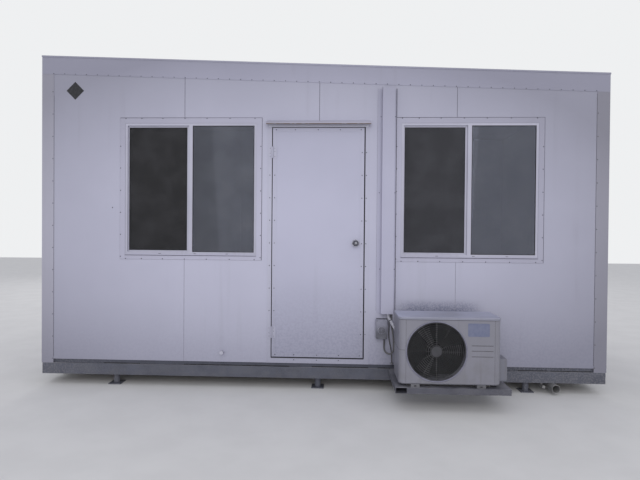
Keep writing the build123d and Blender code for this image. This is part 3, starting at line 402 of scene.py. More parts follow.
def coated_sheet(name, base_colour, streak_share, dust_share, dust_reach=0.9, stain_and_shadow=None, right_shade=0.0):
    """Painted sheet, dimmed by painted light away from the middle of the front and, if asked, by
    painted shade towards the right; a band of grime and painted shadow can be laid on, given by
    its middle as x and height and its half width.
    """
    material, shader, place = new_finish(name, 0.45)
    skin = use_group(paint_skin, place)
    dim = [part * share for part, share in zip(base_colour, (0.95, 0.95, 0.955))]
    base = blend(skin["Tone"], dim, base_colour)
    # painted light: dimmed away from the bright middle of the front
    base = blend(1.0, base, use_group(painted_light_falloff, place)["Tone"], "MULTIPLY")
    # painted shade, when asked: darker towards the right end
    layers = [(right_share(place), right_shade, (0.0, 0.0, 0.0))] if right_shade else []
    streaks = use_group(rain_streaks, place, Width=11.0, Length=0.45)["Mask"]
    layers.append((streaks, streak_share, (0.22, 0.215, 0.24)))
    dust = use_group(splash_dust, place, Reach=dust_reach, Scale=48.0, Evenness=0.6)["Mask"]
    layers.append((dust, dust_share, (0.170, 0.174, 0.235)))
    # a band of grime and painted shadow, darkest along its middle
    if stain_and_shadow:
        across = span(apart(place, "X", stain_and_shadow[0]), stain_and_shadow[2] - 0.22, stain_and_shadow[2], 1.0, 0.0)
        near = times(across, span(apart(place, "Z", stain_and_shadow[1]), 0.0, 0.105, 1.0, 0.0))
        grit = span(noise(place, 120.0, 3.0, 0.6), 0.36, 0.64, 0.30, 0.95)
        layers.append((near, grit, (0.155, 0.165, 0.245)))
    paint(shader, base, *layers)
    wire(shader.inputs["Roughness"], span(maths("ADD", streaks, dust), 0.0, 1.0, 0.40, 0.64))
    add_bump(shader, skin["Height"], 0.3)
    return material


wall_colour = (0.455, 0.457, 0.572)
wall_paint = coated_sheet("wall_paint", wall_colour, 0.12, 0.20)
# these panels carry a band of grime and painted shadow above the air conditioner's lid
grime_and_shadow_paint = coated_sheet("grime_and_shadow_paint", wall_colour, 0.12, 0.46, stain_and_shadow=(1.055, 0.722, 0.43))
plain_walls = "front_panel_1", "front_panel_2", "door_header_panels", "rear_wall_panels"
dress(wall_paint, *plain_walls, "left_end_panels", "right_end_panels")
dress(grime_and_shadow_paint, "front_panel_3", "front_panel_4")

# Joint sealant, pressed into the gaps between the panels; dark under the eaves, paler below
left_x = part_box("corner_flashings")[0].x
right_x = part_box("corner_flashings")[1].x
back_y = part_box("corner_flashings")[1].y
roof_left_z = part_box("front_fascia")[1].z
roof_fall = 0.180


def roof_edge(x):
    """Height of the roof's edge, which falls to the right."""
    return roof_left_z - roof_fall * (x - left_x) / (right_x - left_x)


joint_sealant, shader, place = new_finish("joint_sealant", 0.7)
eaves_share = span(axis_of(place, "Z"), 1.2, 2.4)
smear = span(noise(place, 30.0, 4.0), 0.3, 0.7)
pale_joint = blend(smear, (0.20, 0.20, 0.25), (0.27, 0.27, 0.33))
dark_joint = blend(smear, (0.060, 0.060, 0.075), (0.10, 0.10, 0.12))
paint(shader, blend(eaves_share, pale_joint, dark_joint))
add_bump(shader, smear, 0.0005)

skin_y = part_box("front_panel_1")[0].y
rear_skin_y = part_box("rear_wall_panels")[1].y
wall_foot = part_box("front_panel_1")[0].z
sheet_fold = 0.120
joint_half = 0.0022
joint_recess = 0.0012
joint_depth = 0.060
trim_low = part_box("window_trims")[0].z
trim_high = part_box("window_trims")[1].z
boxes = []
for x in (-1.2, 0.0, 1.2):
    x0, x1 = x - joint_half, x + joint_half
    eaves = roof_edge(x) - sheet_fold
    front_stops = ((wall_foot, trim_low + 0.03), (trim_high - 0.03, eaves)) if x else ((2.348, eaves),)
    for low, high in front_stops:
        boxes.append(((x0, skin_y + joint_recess, low), (x1, skin_y + joint_depth, high)))
    boxes.append(((x0, rear_skin_y - joint_depth, wall_foot), (x1, rear_skin_y - joint_recess, eaves)))
end_middle = (front_y + back_y) / 2
sheet = 0.003
face_gap = sheet + joint_recess
for inner, outer in ((left_x + face_gap, left_x + joint_depth), (right_x - joint_depth, right_x - face_gap)):
    eaves = roof_edge(outer) - sheet_fold - 0.03
    boxes.append(((inner, end_middle - joint_half, wall_foot), (outer, end_middle + joint_half, eaves)))
blocks("panel_joint_sealant", boxes, joint_sealant)


def flat_plate(name, outline, face, back, finish, soften=0.0):
    """A thin plate on the front, from its outline as x and height."""
    shape = bmesh.new()
    face_ring, back_ring = ([shape.verts.new((x, y, z)) for x, z in outline] for y in (face, back))
    shape.faces.new(face_ring)
    shape.faces.new(back_ring[::-1])
    for index in range(len(outline)):
        after = (index + 1) % len(outline)
        shape.faces.new((face_ring[after], face_ring[index], back_ring[index], back_ring[after]))
    bmesh.ops.recalc_face_normals(shape, faces=shape.faces[:])
    if soften:
        bmesh.ops.bevel(shape, geom=shape.edges[:], offset=soften, segments=2, affect="EDGES")
    shape_piece(name, shape, finish)


# Badge place: a bare dark diamond of sheet, taped on beside the corner
badge_tones = (0.009, 0.009, 0.012), (0.022, 0.022, 0.027)
badge_black = mottled("badge_black", 0.5, *badge_tones, (45.0, 4.0, 0.35, 0.7), 0.0003)
badge_x, badge_z, badge_half, badge_rise = -2.197, 2.6425, 0.080, 0.0012
turns = (1, 0), (0, 1), (-1, 0), (0, -1)
corners = [(badge_x + badge_half * across, badge_z + badge_half * up) for across, up in turns]
flat_plate("blank_badge", corners, skin_y - badge_rise, skin_y + 0.0004, badge_black, 0.0004)


# Corner flashings and fascias: thinner sheet folded over the panel edges, a shade greyer, with rain
# marks, the flashings darker towards the right as painted shade; blind rivets hold them, their dull
# aluminium heads painted dark as painted shade round them, and thin sealant lines follow their
# edges, the dark ones at the flashings' inner edges carrying painted shade of the step as well.
# painted shade: the flashings darken towards the right end
flashing_paint = coated_sheet("flashing_paint", (0.442, 0.438, 0.532), 0.16, 0.25, right_shade=0.17)
fascia_paint = coated_sheet("fascia_paint", (0.438, 0.439, 0.562), 0.16, 0.0)
dress(flashing_paint, "corner_flashings")
dress(fascia_paint, "front_fascia", "rear_fascia", "end_fascias")


def geometry_tree(name, sockets):
    """An empty geometry tree, with its inputs given by label and kind."""
    tree = bpy.data.node_groups.new(name, "GeometryNodeTree")
    for label, kind in (("Geometry", "Geometry"), *sockets, ("Finish", "Material")):
        tree.interface.new_socket(label, in_out="INPUT", socket_type="NodeSocket" + kind)
    tree.interface.new_socket("Geometry", in_out="OUTPUT", socket_type="NodeSocketGeometry")
    return tree, tree.nodes.new("NodeGroupInput").outputs


def close_tree(tree, geometry, finish):
    """End a tree in real geometry that wears its finish."""
    real = add_node("GeometryNodeRealizeInstances", {"Geometry": geometry})
    coated = {"Geometry": real.outputs[0], "Material": finish}
    finished = add_node("GeometryNodeSetMaterial", coated)
    wire(tree.nodes.new("NodeGroupOutput").inputs[0], finished.outputs[0])


# Spaced low domed heads along rows of edges
rivet_floats = [(label, "Float") for label in ("Pitch", "Head Radius", "Head Height")]
rivet_rows, given = geometry_tree("rivet rows", [*rivet_floats, ("Facing", "Rotation")])
lines = add_node("GeometryNodeMeshToCurve", {"Mesh": given["Geometry"]})
steps = {"Curve": lines.outputs[0], "Length": given["Pitch"]}
spaced = add_node("GeometryNodeResampleCurve", steps, mode="LENGTH")
sizes = {"Vertices": 10, "Radius Bottom": given["Head Radius"], "Depth": given["Head Height"]}
sizes["Radius Top"] = times(given["Head Radius"], 0.55)
head = add_node("GeometryNodeMeshCone", sizes).outputs["Mesh"]
heads = {"Points": spaced.outputs[0], "Instance": head, "Rotation": given["Facing"]}
placed = add_node("GeometryNodeInstanceOnPoints", heads)
close_tree(rivet_rows, placed.outputs[0], given["Finish"])


def kept_mesh(name, carrier):
    """What a carrier shows, as a plain mesh; the carrier goes."""
    bpy.context.view_layer.update()
    mesh = bpy.data.meshes.new_from_object(carrier.evaluated_get(bpy.context.evaluated_depsgraph_get()))
    mesh.name = name
    bpy.data.objects.remove(carrier)
    return mesh


def bake_tree(name, mesh, tree, values, body="cabin"):
    """Run a geometry tree on a carrier mesh and keep the result as a piece."""
    carrier = put(name + "_carrier", mesh)
    modifier = carrier.modifiers.new("tree", "NODES")
    modifier.node_group = tree
    for item in tree.interface.items_tree:
        if item.in_out == "INPUT" and item.name in values:
            modifier[item.identifier] = values[item.name]
    return settle(put(name, kept_mesh(name, carrier)), body)


facings = {
    "front": (math.pi / 2, 0.0, 0.0),
    "back": (-math.pi / 2, 0.0, 0.0),
    "left": (0.0, -math.pi / 2, 0.0),
    "right": (0.0, math.pi / 2, 0.0),
}
lone_reach = 0.0004


def lone(x, y, z):
    """A row that is too short for a second head."""
    return (x, y, z), (x, y, z + lone_reach)


def rivets(name, rows, facing="front", pitch=1.0, body="cabin", radius=0.0045, rise=0.0018):
    """Heads along rows, each given by its first and last points."""
    mesh = bpy.data.meshes.new(name)
    edges = [(2 * index, 2 * index + 1) for index in range(len(rows))]
    mesh.from_pydata([point for row in rows for point in row], edges, [])
    values = {"Pitch": pitch, "Head Radius": radius, "Head Height": rise}
    values.update({"Facing": facings[facing], "Finish": rivet_alloy})
    return bake_tree(name, mesh, rivet_rows, values, body)


# painted shade: the heads are darker than bare alloy, standing for the shade round them
alloy_tones = (0.045, 0.045, 0.055), (0.10, 0.10, 0.12)
rivet_alloy = mottled("rivet_alloy", 0.5, *alloy_tones, (60.0, 3.0, 0.35, 0.65), 0.0002, (900.0, 2.0), 0.5)

fascia_drop = 0.165
fascia_pitch = 0.0995
row_lift = 0.0065
corner_pitch = 0.2
corner_row = 0.100
corner_foot = 0.2325
seat = 0.0002
for y, side in ((front_y - seat, "front"), (back_y + seat, "back")):
    ends = [(x, y, roof_edge(x) - fascia_drop + row_lift) for x in (-2.393, 2.384)]
    rivets(f"fascia_rivets_{side}", [ends], side, fascia_pitch)
    rows = []
    for x in (left_x + corner_row, right_x - corner_row):
        top = corner_foot + corner_pitch * (12 if x < 0 else 11)
        rows.append(((x, y, corner_foot), (x, y, top + 0.001)))
    rivets(f"corner_rivets_{side}", rows, side, corner_pitch)
for x, side in ((left_x - seat, "left"), (right_x + seat, "right")):
    z = roof_edge(x) - fascia_drop + row_lift
    rivets(f"fascia_rivets_{side}", [((x, front_y + 0.06, z), (x, back_y - 0.06, z))], side, fascia_pitch)
    top = corner_foot + corner_pitch * (12 if x < 0 else 11) + 0.001
    rows = [((x, y, corner_foot), (x, y, top)) for y in (front_y + corner_row, back_y - corner_row)]
    rivets(f"corner_rivets_{side}", rows, side, corner_pitch)


def round_line(name, lines, radius, kind="POLY", steps=1):
    """Round beads along lines of points; a line that closes ends with True."""
    curve = bpy.data.curves.new(name, "CURVE")
    curve.dimensions = "3D"
    curve.bevel_depth = radius
    curve.bevel_resolution = steps
    curve.use_fill_caps = True
    for points in lines:
        spots = [point for point in points if point is not True]
        line = curve.splines.new(kind)
        line.points.add(len(spots) - 1)
        for point, spot in zip(line.points, spots):
            point.co = (*spot, 1.0)
        line.use_cyclic_u = len(spots) < len(points)
    return curve


def beads(name, lines, radius, finish, body="cabin"):
    """Round beads kept as one piece."""
    mesh = kept_mesh(name, put(name + "_line", round_line(name, lines, radius)))
    mesh.materials.clear()
    mesh.materials.append(finish)
    return settle(put(name, mesh), body)


def sealant(name, dark, pale):
    return mottled(name, 0.7, dark, pale, (35.0, 4.0, 0.35, 0.7), 0.0004, (300.0, 3.0))


# The dark sealant also carries painted shade where its lines stand for shadow.
dark_sealant_and_shade = sealant("dark_sealant_and_shade", (0.045, 0.045, 0.060), (0.090, 0.090, 0.112))
pale_sealant = sealant("pale_sealant", (0.20, 0.20, 0.25), (0.29, 0.29, 0.355))
corner_width = 0.108
line_z = 2.60
# dark lines at the flashings' inner edges: sealant and painted shade of the step
lines = []
for x in (left_x + corner_width + 0.0006, right_x - corner_width - 0.0006):
    top = min(roof_edge(x) - fascia_drop, line_z)
    lines.append([(x, skin_y - 0.0004, 0.25), (x, skin_y - 0.0004, top)])
beads("corner_sealant_and_shade", lines, 0.0015, dark_sealant_and_shade)
lines = []
for x0, x1 in ((left_x + 0.002, left_x + corner_width), (right_x - corner_width, right_x - 0.002)):
    lines.append([(x, front_y - 0.0002, roof_edge(x) - fascia_drop) for x in (x0, x1)])
beads("fascia_sealant", lines, 0.0012, pale_sealant)


# Roof: sandwich panels with trapezoid ribs down the fall, greyed by leaf litter and by dust that
# runs along the ribs.
roof_paint, shader, place = new_finish("roof_paint", 0.55)
grime = span(noise(place, 2.3, 6.0, 0.68), 0.35, 0.7)
runs = span(noise(scaled(place, (0.6, 14.0, 1.0)), 1.0, 4.0), 0.45, 0.7)
base = blend(grime, (0.42, 0.42, 0.50), (0.28, 0.275, 0.30))
paint(shader, base, (runs, 0.35, (0.17, 0.165, 0.16)))
add_bump(shader, noise(place, 500.0, 3.0), 0.0003)
dress(roof_paint, "roof_panels")


# Window trims: folded sheet riveted over the cut edge of the panels and sealed round, with a nose
# under the frame that throws water off; the sealant is painted dark on the top and right sides as
# painted shade and pale on the others, and a dark bead under the nose is painted shadow.
dress(coated_sheet("trim_paint", (0.435, 0.433, 0.545), 0.14, 0.1), "window_trims")
window_centres = (-1.146, 1.312)
window_width = 1.183
trim_width = 0.046
opening_low = trim_low + trim_width
opening_high = trim_high - trim_width
across_places = (-0.586, -0.441, -0.251, -0.052, 0.146, 0.352, 0.575)
up_places = (1.160, 1.357, 1.554, 1.751, 1.950, 2.145)
rivet_inset = 0.0045
rows = []
dark_lines, pale_lines, fold_lines, nose_lines = [], [], [], []
for centre in window_centres:
    x0 = centre - window_width / 2 - trim_width
    x1 = centre + window_width / 2 + trim_width
    for x in across_places:
        rows.append(lone(centre + x, front_y - seat, trim_high - rivet_inset))
        rows.append(lone(centre + x, front_y - seat, trim_low + rivet_inset))
    for z in up_places:
        rows.append(lone(x0 + rivet_inset, front_y - seat, z))
        rows.append(lone(x1 - rivet_inset - 0.004, front_y - seat, z))
    bead_y = skin_y - 0.0012
    top, foot = trim_high + 0.0012, trim_low - 0.0008
    dark_lines.append([(x0, bead_y, top), (x1 + 0.0012, bead_y, top), (x1 + 0.0012, bead_y, foot)])
    pale_lines.append([(x1, bead_y, foot), (x0 - 0.0008, bead_y, foot), (x0 - 0.0008, bead_y, top)])
    in0, in1 = x0 + trim_width, x1 - trim_width
    turns = (in0, opening_low), (in0, opening_high), (in1, opening_high), (in1, opening_low)
    fold_lines.append([(x, skin_y - 0.0004, z) for x, z in turns])
    nose_lines.append([(x, front_y - 0.0014, opening_low - 0.0086) for x in (in0, in1)])
rivets("trim_rivets", rows)
# painted shade: dark sealant on the top and right sides, and painted shadow under the nose
beads("trim_sealant_and_shade", dark_lines, 0.0028, dark_sealant_and_shade)
beads("trim_nose_shadow", nose_lines, 0.0034, dark_sealant_and_shade)
beads("trim_sealant_pale", pale_lines, 0.0014, pale_sealant)
beads("trim_fold_line", fold_lines, 0.0013, pale_sealant)


# Windows: powder-coated aluminium frames and sliding sashes, float glass in black rubber, and an
# insect screen of dark weave in front of each sash; slots in the frame's foot let rain out.
powder_white, shader, place = new_finish("powder_white", 0.38)
skin = use_group(paint_skin, place, Grain=1400.0)
base = blend(skin["Tone"], (0.375, 0.375, 0.462), (0.415, 0.415, 0.505))
streaks = use_group(rain_streaks, place, Width=30.0, Length=1.2)["Mask"]
paint(shader, base, (streaks, 0.2, (0.22, 0.215, 0.235)))
add_bump(shader, skin["Height"], 0.2)
dress(powder_white, "window_frames", "window_sashes", "screen_frames")

# Clear glass, hazed by a thin coat of dust, with a painted reflection of pale sky that grows
# towards the right
float_glass, shader, place = new_finish("float_glass", 0.02)
shader.inputs["IOR"].default_value = 1.52
shader.inputs["Transmission Weight"].default_value = 0.86
haze = span(noise(place, 3.0, 5.0, 0.6), 0.3, 0.75)
base = blend(haze, (0.20, 0.22, 0.30), (0.29, 0.31, 0.39))
# painted reflection: a pale sky blue that grows towards the right window
paint(shader, base, (right_share(place), 0.20, (0.62, 0.66, 0.86)))
wire(shader.inputs["Roughness"], span(noise(place, 9.0, 5.0, 0.65), 0.45, 0.8, 0.015, 0.09))
dress(float_glass, "window_panes")

# Insect mesh: fine dark weave with open holes
screen_weave, shader, place = new_finish("screen_weave", 0.75)
threads = scaled(place, (2600.0, 2600.0, 2600.0))
thread = add_node("ShaderNodeVectorMath", {0: threads}, operation="SINE").outputs[0]
weave = maths("MAXIMUM", maths("ABSOLUTE", axis_of(thread, "X")), maths("ABSOLUTE", axis_of(thread, "Z")))
wire(shader.inputs["Alpha"], span(weave, 0.2, 0.6, 0.5, 0.92))
mesh_tone = span(noise(place, 5.0, 4.0), 0.35, 0.7)
base = blend(mesh_tone, (0.014, 0.014, 0.016), (0.026, 0.026, 0.030))
# painted reflection: paler towards the right window
paint(shader, base, (right_share(place), 0.05, (0.36, 0.38, 0.46)))
add_bump(shader, weave, 0.0002)
dress(screen_weave, "screen_meshes")

rubber_tones = (0.012, 0.012, 0.015), (0.030, 0.030, 0.036)
black_rubber = mottled("black_rubber", 0.65, *rubber_tones, (24.0, 4.0, 0.4, 0.75), 0.0002, (500.0, 3.0))


def border(x0, x1, z0, z1, face, y0, y1):
    """Four boxes inside the edge of an upright rectangle."""
    return [
        ((x0, y0, z0), (x1, y1, z0 + face)),
        ((x0, y0, z1 - face), (x1, y1, z1)),
        ((x0, y0, z0 + face), (x0 + face, y1, z1 - face)),
        ((x1 - face, y0, z0 + face), (x1, y1, z1 - face)),
    ]


frame_face = 0.021
pane_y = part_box("window_panes")[0].y
screen_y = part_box("screen_frames")[0].y
pane_low, pane_high = opening_low + frame_face, opening_high - frame_face
meeting_half = 0.017
boxes, splines, slots = [], [], []
for centre in window_centres:
    in0, in1 = centre - window_width / 2 + frame_face, centre + window_width / 2 - frame_face
    depths = pane_y - 0.0018, pane_y + 0.0006
    boxes += border(centre + meeting_half, in1, pane_low, pane_high, 0.0055, *depths)
    x0, x1, z0, z1 = in0 + 0.009, centre - 0.036, pane_low + 0.014, pane_high - 0.014
    y = screen_y + 0.0016
    splines.append([(x0, y, z0), (x1, y, z0), (x1, y, z1), (x0, y, z1), True])
    for x in (-0.277, 0.041, 0.329):
        x0, x1, z = centre + x - 0.011, centre + x + 0.011, opening_low + 0.0045
        slots.append(((x0, skin_y - 0.0004, z), (x1, skin_y + 0.0006, z + 0.0035)))
blocks("pane_gaskets", boxes, black_rubber)
beads("screen_splines", splines, 0.0022, black_rubber)
blocks("frame_drain_slots", slots, black_rubber)


# Door: a sandwich leaf in riveted edge channels, in a folded frame with a dark seal round the gap
# and painted shadow along it, under a small rain hood and hung on two butt hinges; the head under
# the hood is painted paler as painted light.
dress(coated_sheet("door_paint", (0.432, 0.435, 0.555), 0.08, 0.55, 1.15), "door_leaf")
dress(coated_sheet("edging_paint", (0.430, 0.432, 0.545), 0.12, 0.52, 1.15), "door_edging")
frame_paint = coated_sheet("frame_paint", (0.440, 0.442, 0.550), 0.14, 0.25)
# painted light: the head under the hood is painted much paler to offset the hood's shade
dress(coated_sheet("painted_light_head", (0.60, 0.60, 0.70), 0.10, 0.0), "door_head")
dress(frame_paint, "door_jambs", "door_threshold")

leaf_low, leaf_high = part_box("door_edging")
edge_rows = (leaf_low.z + 0.0185, 2.2915)
top_places = (-0.380, -0.212, -0.010, 0.184, 0.3675)
side_foot, side_top, side_pitch = 0.491, 2.092, 0.2
for side, y in (("front", leaf_low.y - seat), ("back", leaf_high.y + seat)):
    rows = [lone(x, y, z) for x in top_places for z in edge_rows]
    rows += [((x, y, side_foot), (x, y, side_top)) for x in (leaf_low.x + 0.0185, leaf_high.x - 0.0185)]
    rivets(f"edging_rivets_{side}", rows, side, side_pitch, body="door")
rows = [((x, front_y - seat, side_foot), (x, front_y - seat, side_top)) for x in (-0.435, 0.416)]
rows += [lone(x, front_y - seat, 0.2568) for x in (-0.212, -0.010, 0.183)]
rivets("door_frame_rivets", rows, "front", side_pitch)

# Seal and painted shade: thin black tape on the frame's sides of the gap and a black strip on the
# stop, which also make the gap as dark as its shade
gap0, gap1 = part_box("door_threshold")[0].x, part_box("door_threshold")[1].x
gap_low, gap_high = leaf_low.z - 0.006, leaf_high.z + 0.006
tape = 0.0006
seal_front, seal_back = front_y + 0.001, front_y + 0.044
boxes = [((x - tape, seal_front, gap_low), (x + tape, seal_back, gap_high)) for x in (gap0, gap1)]
boxes += [((gap0, seal_front, z - tape), (gap1, seal_back, z + tape)) for z in (gap_high, gap_low)]
stop_y, stop_face = front_y + 0.046, 0.0115
boxes += border(gap0, gap1, gap_low, gap_high, stop_face, stop_y - 0.0016, stop_y + 0.0004)
blocks("door_gap_seal_and_shade", boxes, black_rubber)
# Painted shadow: black beads on the frame's face along the gap's edges, widest at the foot
gap_shadow_y, gap_shadow_z = front_y - 0.0006, gap_low - 0.0012
for name, ends, radius in (
    ("door_gap_shadow_side", ((gap1 + 0.0008, gap_low), (gap1 + 0.0008, gap_high)), 0.0026),
    ("door_gap_shadow_hinge", ((gap0 - 0.0008, gap_low), (gap0 - 0.0008, gap_high)), 0.0017),
    ("door_gap_shadow_foot", ((gap0, gap_shadow_z), (gap1, gap_shadow_z)), 0.0038),
):
    beads(name, [[(x, gap_shadow_y, z) for x, z in ends]], radius, black_rubber)

# Hood: painted sheet whose lip has begun to rust along its lower fold
hood_paint, shader, place = new_finish("hood_paint", 0.5)
hood_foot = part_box("rain_hood")[0].z
skin = use_group(paint_skin, place)
base = blend(skin["Tone"], (0.285, 0.28, 0.35), (0.35, 0.345, 0.43))
lip = span(axis_of(place, "Z"), hood_foot + 0.002, hood_foot + 0.010, 1.0, 0.0)
bloom = use_group(rust_bloom, place, Scale=22.0, Threshold=0.40)["Mask"]
paint(shader, base, (lip, 0.75, (0.085, 0.078, 0.080)), (lip, bloom, (0.105, 0.066, 0.046)))
add_bump(shader, noise(place, 240.0, 4.0), 0.0004)
dress(hood_paint, "rain_hood")

# Hinges: steel butts, painted over with the frame, with dark screw heads
dress(frame_paint, "hinge_plates", "hinge_straps")
hinge_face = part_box("hinge_plates")[1].y - sheet - seat
hinge_middles = (0.501, 2.092)
for name, x, middle_rise, body in (
    ("hinge_plate_screws", -0.4335, -0.008, "cabin"),
    ("hinge_strap_screws", -0.3925, 0.008, "door"),
):
    spots = [lone(x, hinge_face, z + rise) for z in hinge_middles for rise in (-0.036, middle_rise, 0.036)]
    rivets(name, spots, body=body, radius=0.0028)

# Knob set: polished and then scratched round the grip, with a painted highlight on its face a
# little above and right of the middle
knob_chrome, shader, place = new_finish("knob_chrome", 0.16, 1.0)
scratch = noise(scaled(place, (40.0, 40.0, 400.0)), 1.0, 3.0, 0.7)
knob_low, knob_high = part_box("door_knob")
middle = ((knob_low.x + knob_high.x) / 2 + 0.001, 0.0, (knob_low.z + knob_high.z) / 2 + 0.004)
reach = reach_from(place, middle, (1.0, 0.0, 1.0))
base = blend(span(scratch, 0.3, 0.7), (0.085, 0.085, 0.10), (0.18, 0.18, 0.20))
# painted highlight: pale near the middle of the knob's face
base = blend(span(reach, 0.003, 0.014, 1.0, 0.0), base, (0.46, 0.46, 0.52))
paint(shader, base)
wire(shader.inputs["Roughness"], span(scratch, 0.35, 0.7, 0.12, 0.38))
dress(knob_chrome, "door_knob")
rose_chrome, shader, place = new_finish("rose_chrome", 0.3, 1.0)
scratch = noise(scaled(place, (60.0, 60.0, 60.0)), 1.0, 3.0, 0.7)
paint(shader, blend(span(scratch, 0.3, 0.7), (0.38, 0.38, 0.44), (0.52, 0.52, 0.60)))
wire(shader.inputs["Roughness"], span(scratch, 0.35, 0.7, 0.22, 0.42))
dress(rose_chrome, "door_roses")


# Pipe duct: a folded sheet cover screwed to the wall through its flanges, with a foam plug in its
# open foot and sealant down both sides; the thick dark line down the right side is painted shadow
# as well as sealant.
dress(coated_sheet("duct_paint", (0.410, 0.410, 0.527), 0.12, 0.12), "pipe_duct")
duct_low, duct_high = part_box("pipe_duct")
flange_y = skin_y - sheet - seat
screw_places = [(x, z) for z in (2.405, 1.070) for x in (0.540, 0.666)]
screw_places += [(0.530, 1.740), (0.666, 1.740)]
rivets("duct_screws", [lone(x, flange_y, z) for x, z in screw_places], radius=0.004)
lone_places = ((-1.854, 1.597), (0.555, 2.662))
rivets("wall_screws", [lone(x, skin_y - seat, z) for x, z in lone_places])
# the right bead is thick and dark: painted shadow as well as sealant
for name, x, radius, finish in (
    ("duct_sealant_left", duct_low.x - 0.0006, 0.0013, pale_sealant),
    ("duct_sealant_and_shadow_right", duct_high.x + 0.0016, 0.0036, dark_sealant_and_shade),
):
    y = skin_y - radius / 3
    beads(name, [[(x, y, duct_low.z + 0.02), (x, y, duct_high.z)]], radius, finish)

foam_tones = (0.02, 0.02, 0.022), (0.05, 0.05, 0.055)
dress(mottled("plug_foam", 0.9, *foam_tones, (420.0, 3.0, 0.35, 0.65), 0.001), "duct_plug")


# Isolator: a moulded weatherproof box, much paler towards its top, with a turning handle in a ring
# and a gland for the conduit underneath.
top_paler_grey, shader, place = new_finish("top_paler_grey", 0.5)
box_low, box_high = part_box("isolator_box")
# paler towards the top of the box
upward_share = span(axis_of(place, "Z"), box_low.z + 0.045, box_high.z - 0.035)
fade = span(noise(place, 16.0, 4.0), 0.35, 0.7)
low_tone = blend(fade, (0.105, 0.108, 0.132), (0.150, 0.152, 0.182))
high_tone = blend(fade, (0.215, 0.218, 0.275), (0.255, 0.258, 0.325))
paint(shader, blend(upward_share, low_tone, high_tone))
add_bump(shader, noise(place, 700.0, 3.0), 0.0003)
dress(top_paler_grey, "isolator_box")
handle_tones = (0.105, 0.107, 0.132), (0.20, 0.20, 0.245)
handle_grey = mottled("handle_grey", 0.5, *handle_tones, (90.0, 4.0, 0.4, 0.7), 0.0003, (900.0, 3.0))
dress(handle_grey, "isolator_switch")


def arc(x, y, radius, first, sweep, count):
    """Points on a circle, evenly from a first angle up to the end of a sweep."""
    angles = [first + sweep * index / count for index in range(count + 1)]
    return [(x + radius * math.cos(angle), y + radius * math.sin(angle)) for angle in angles]


def hoop(middle, radius, normal, count=40):
    """Points of a closed ring about a middle, square to its normal."""
    turn = Vector((0.0, 0.0, 1.0)).rotation_difference(Vector(normal)).to_matrix()
    rounds = arc(0.0, 0.0, radius, 0.0, math.tau, count)[:-1]
    return [tuple(Vector(middle) + turn @ Vector((*spot, 0.0))) for spot in rounds] + [True]


ring_tones = (0.34, 0.34, 0.41), (0.45, 0.45, 0.53)
ring_grey = mottled("ring_grey", 0.45, *ring_tones, (60.0, 3.0, 0.35, 0.7), 0.0002)
dial_x, dial_z = 0.556, 0.544
# Painted shadow: a black bead on the wall along the box's top and right side
bead_y, shadow_x, shadow_z = skin_y - 0.0016, box_high.x + 0.0030, box_high.z + 0.0010
turns = (box_low.x + 0.004, shadow_z), (shadow_x, shadow_z), (shadow_x, box_low.z + 0.012)
beads("isolator_shadow_line", [[(x, bead_y, z) for x, z in turns]], 0.0030, black_rubber)
dial_middle = dial_x, box_low.y - 0.0004, dial_z
beads("isolator_dial_ring", [hoop(dial_middle, 0.031, (0, 1, 0))], 0.0016, ring_grey)
screw_spots = [lone(x, box_low.y + 0.0038, z) for x in (0.519, 0.593) for z in (0.477, 0.624)]
rivets("isolator_lid_screws", screw_spots, radius=0.003, rise=0.001)


# Refrigerant pipe: a copper line in a white foam sleeve that is scuffed in places, held to the
# conduit by a black tie.
sleeve_foam, shader, place = new_finish("sleeve_foam", 0.8)
wrap = span(noise(place, 55.0, 4.0), 0.35, 0.7)
base = blend(wrap, (0.34, 0.34, 0.40), (0.47, 0.47, 0.54))
scuffs = span(noise(place, 18.0, 5.0, 0.7), 0.52, 0.66)
paint(shader, base, (scuffs, 0.7, (0.10, 0.10, 0.11)))
add_bump(shader, noise(place, 300.0, 3.0), 0.0012)
dress(sleeve_foam, "refrigerant_pipe")
tie_middle, pipe_run = (0.631, -1.0385, 0.625), (0.0815, -0.064, -0.136)
tie_lines = []
for shift in (-0.0016, 0.0016):
    middle = Vector(tie_middle) + shift * Vector(pipe_run).normalized()
    tie_lines.append(hoop(middle, 0.0142, pipe_run, 24))
beads("pipe_tie", tie_lines, 0.0016, black_rubber)


# Conduit and hose: a limp grey ribbed conduit hangs from the isolator's gland and turns up into the
# duct's plug; a thin dark hose drains down the wall into its saddle clip.
def cord_piece(name, node, points, radius, finish):
    """A limp cord whose smooth line is drawn to its route's points, in place of its plain tube."""
    curve = round_line(name, [points], radius, "NURBS", 4)
    line = curve.splines[0]
    line.order_u = 3
    line.use_endpoint_u = True
    line.resolution_u = 12
    curve.materials.append(finish)
    made = settle(put(name, curve))
    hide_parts(node)


conduit_grey, shader, place = new_finish("conduit_grey", 0.6)
ribs = maths("SINE", times(axis_of(place, "Z"), 1500.0))
base = blend(span(ribs, -1.0, 1.0), (0.085, 0.085, 0.09), (0.19, 0.19, 0.20))
mud = span(noise(place, 22.0, 4.0), 0.45, 0.7)
paint(shader, base, (mud, 0.5, (0.07, 0.066, 0.062)))
add_bump(shader, ribs, 0.0008)
hose_tones = (0.055, 0.053, 0.056), (0.115, 0.112, 0.118)
hose_rubber = mottled("hose_rubber", 0.6, *hose_tones, (80.0, 4.0, 0.35, 0.7), 0.0003)

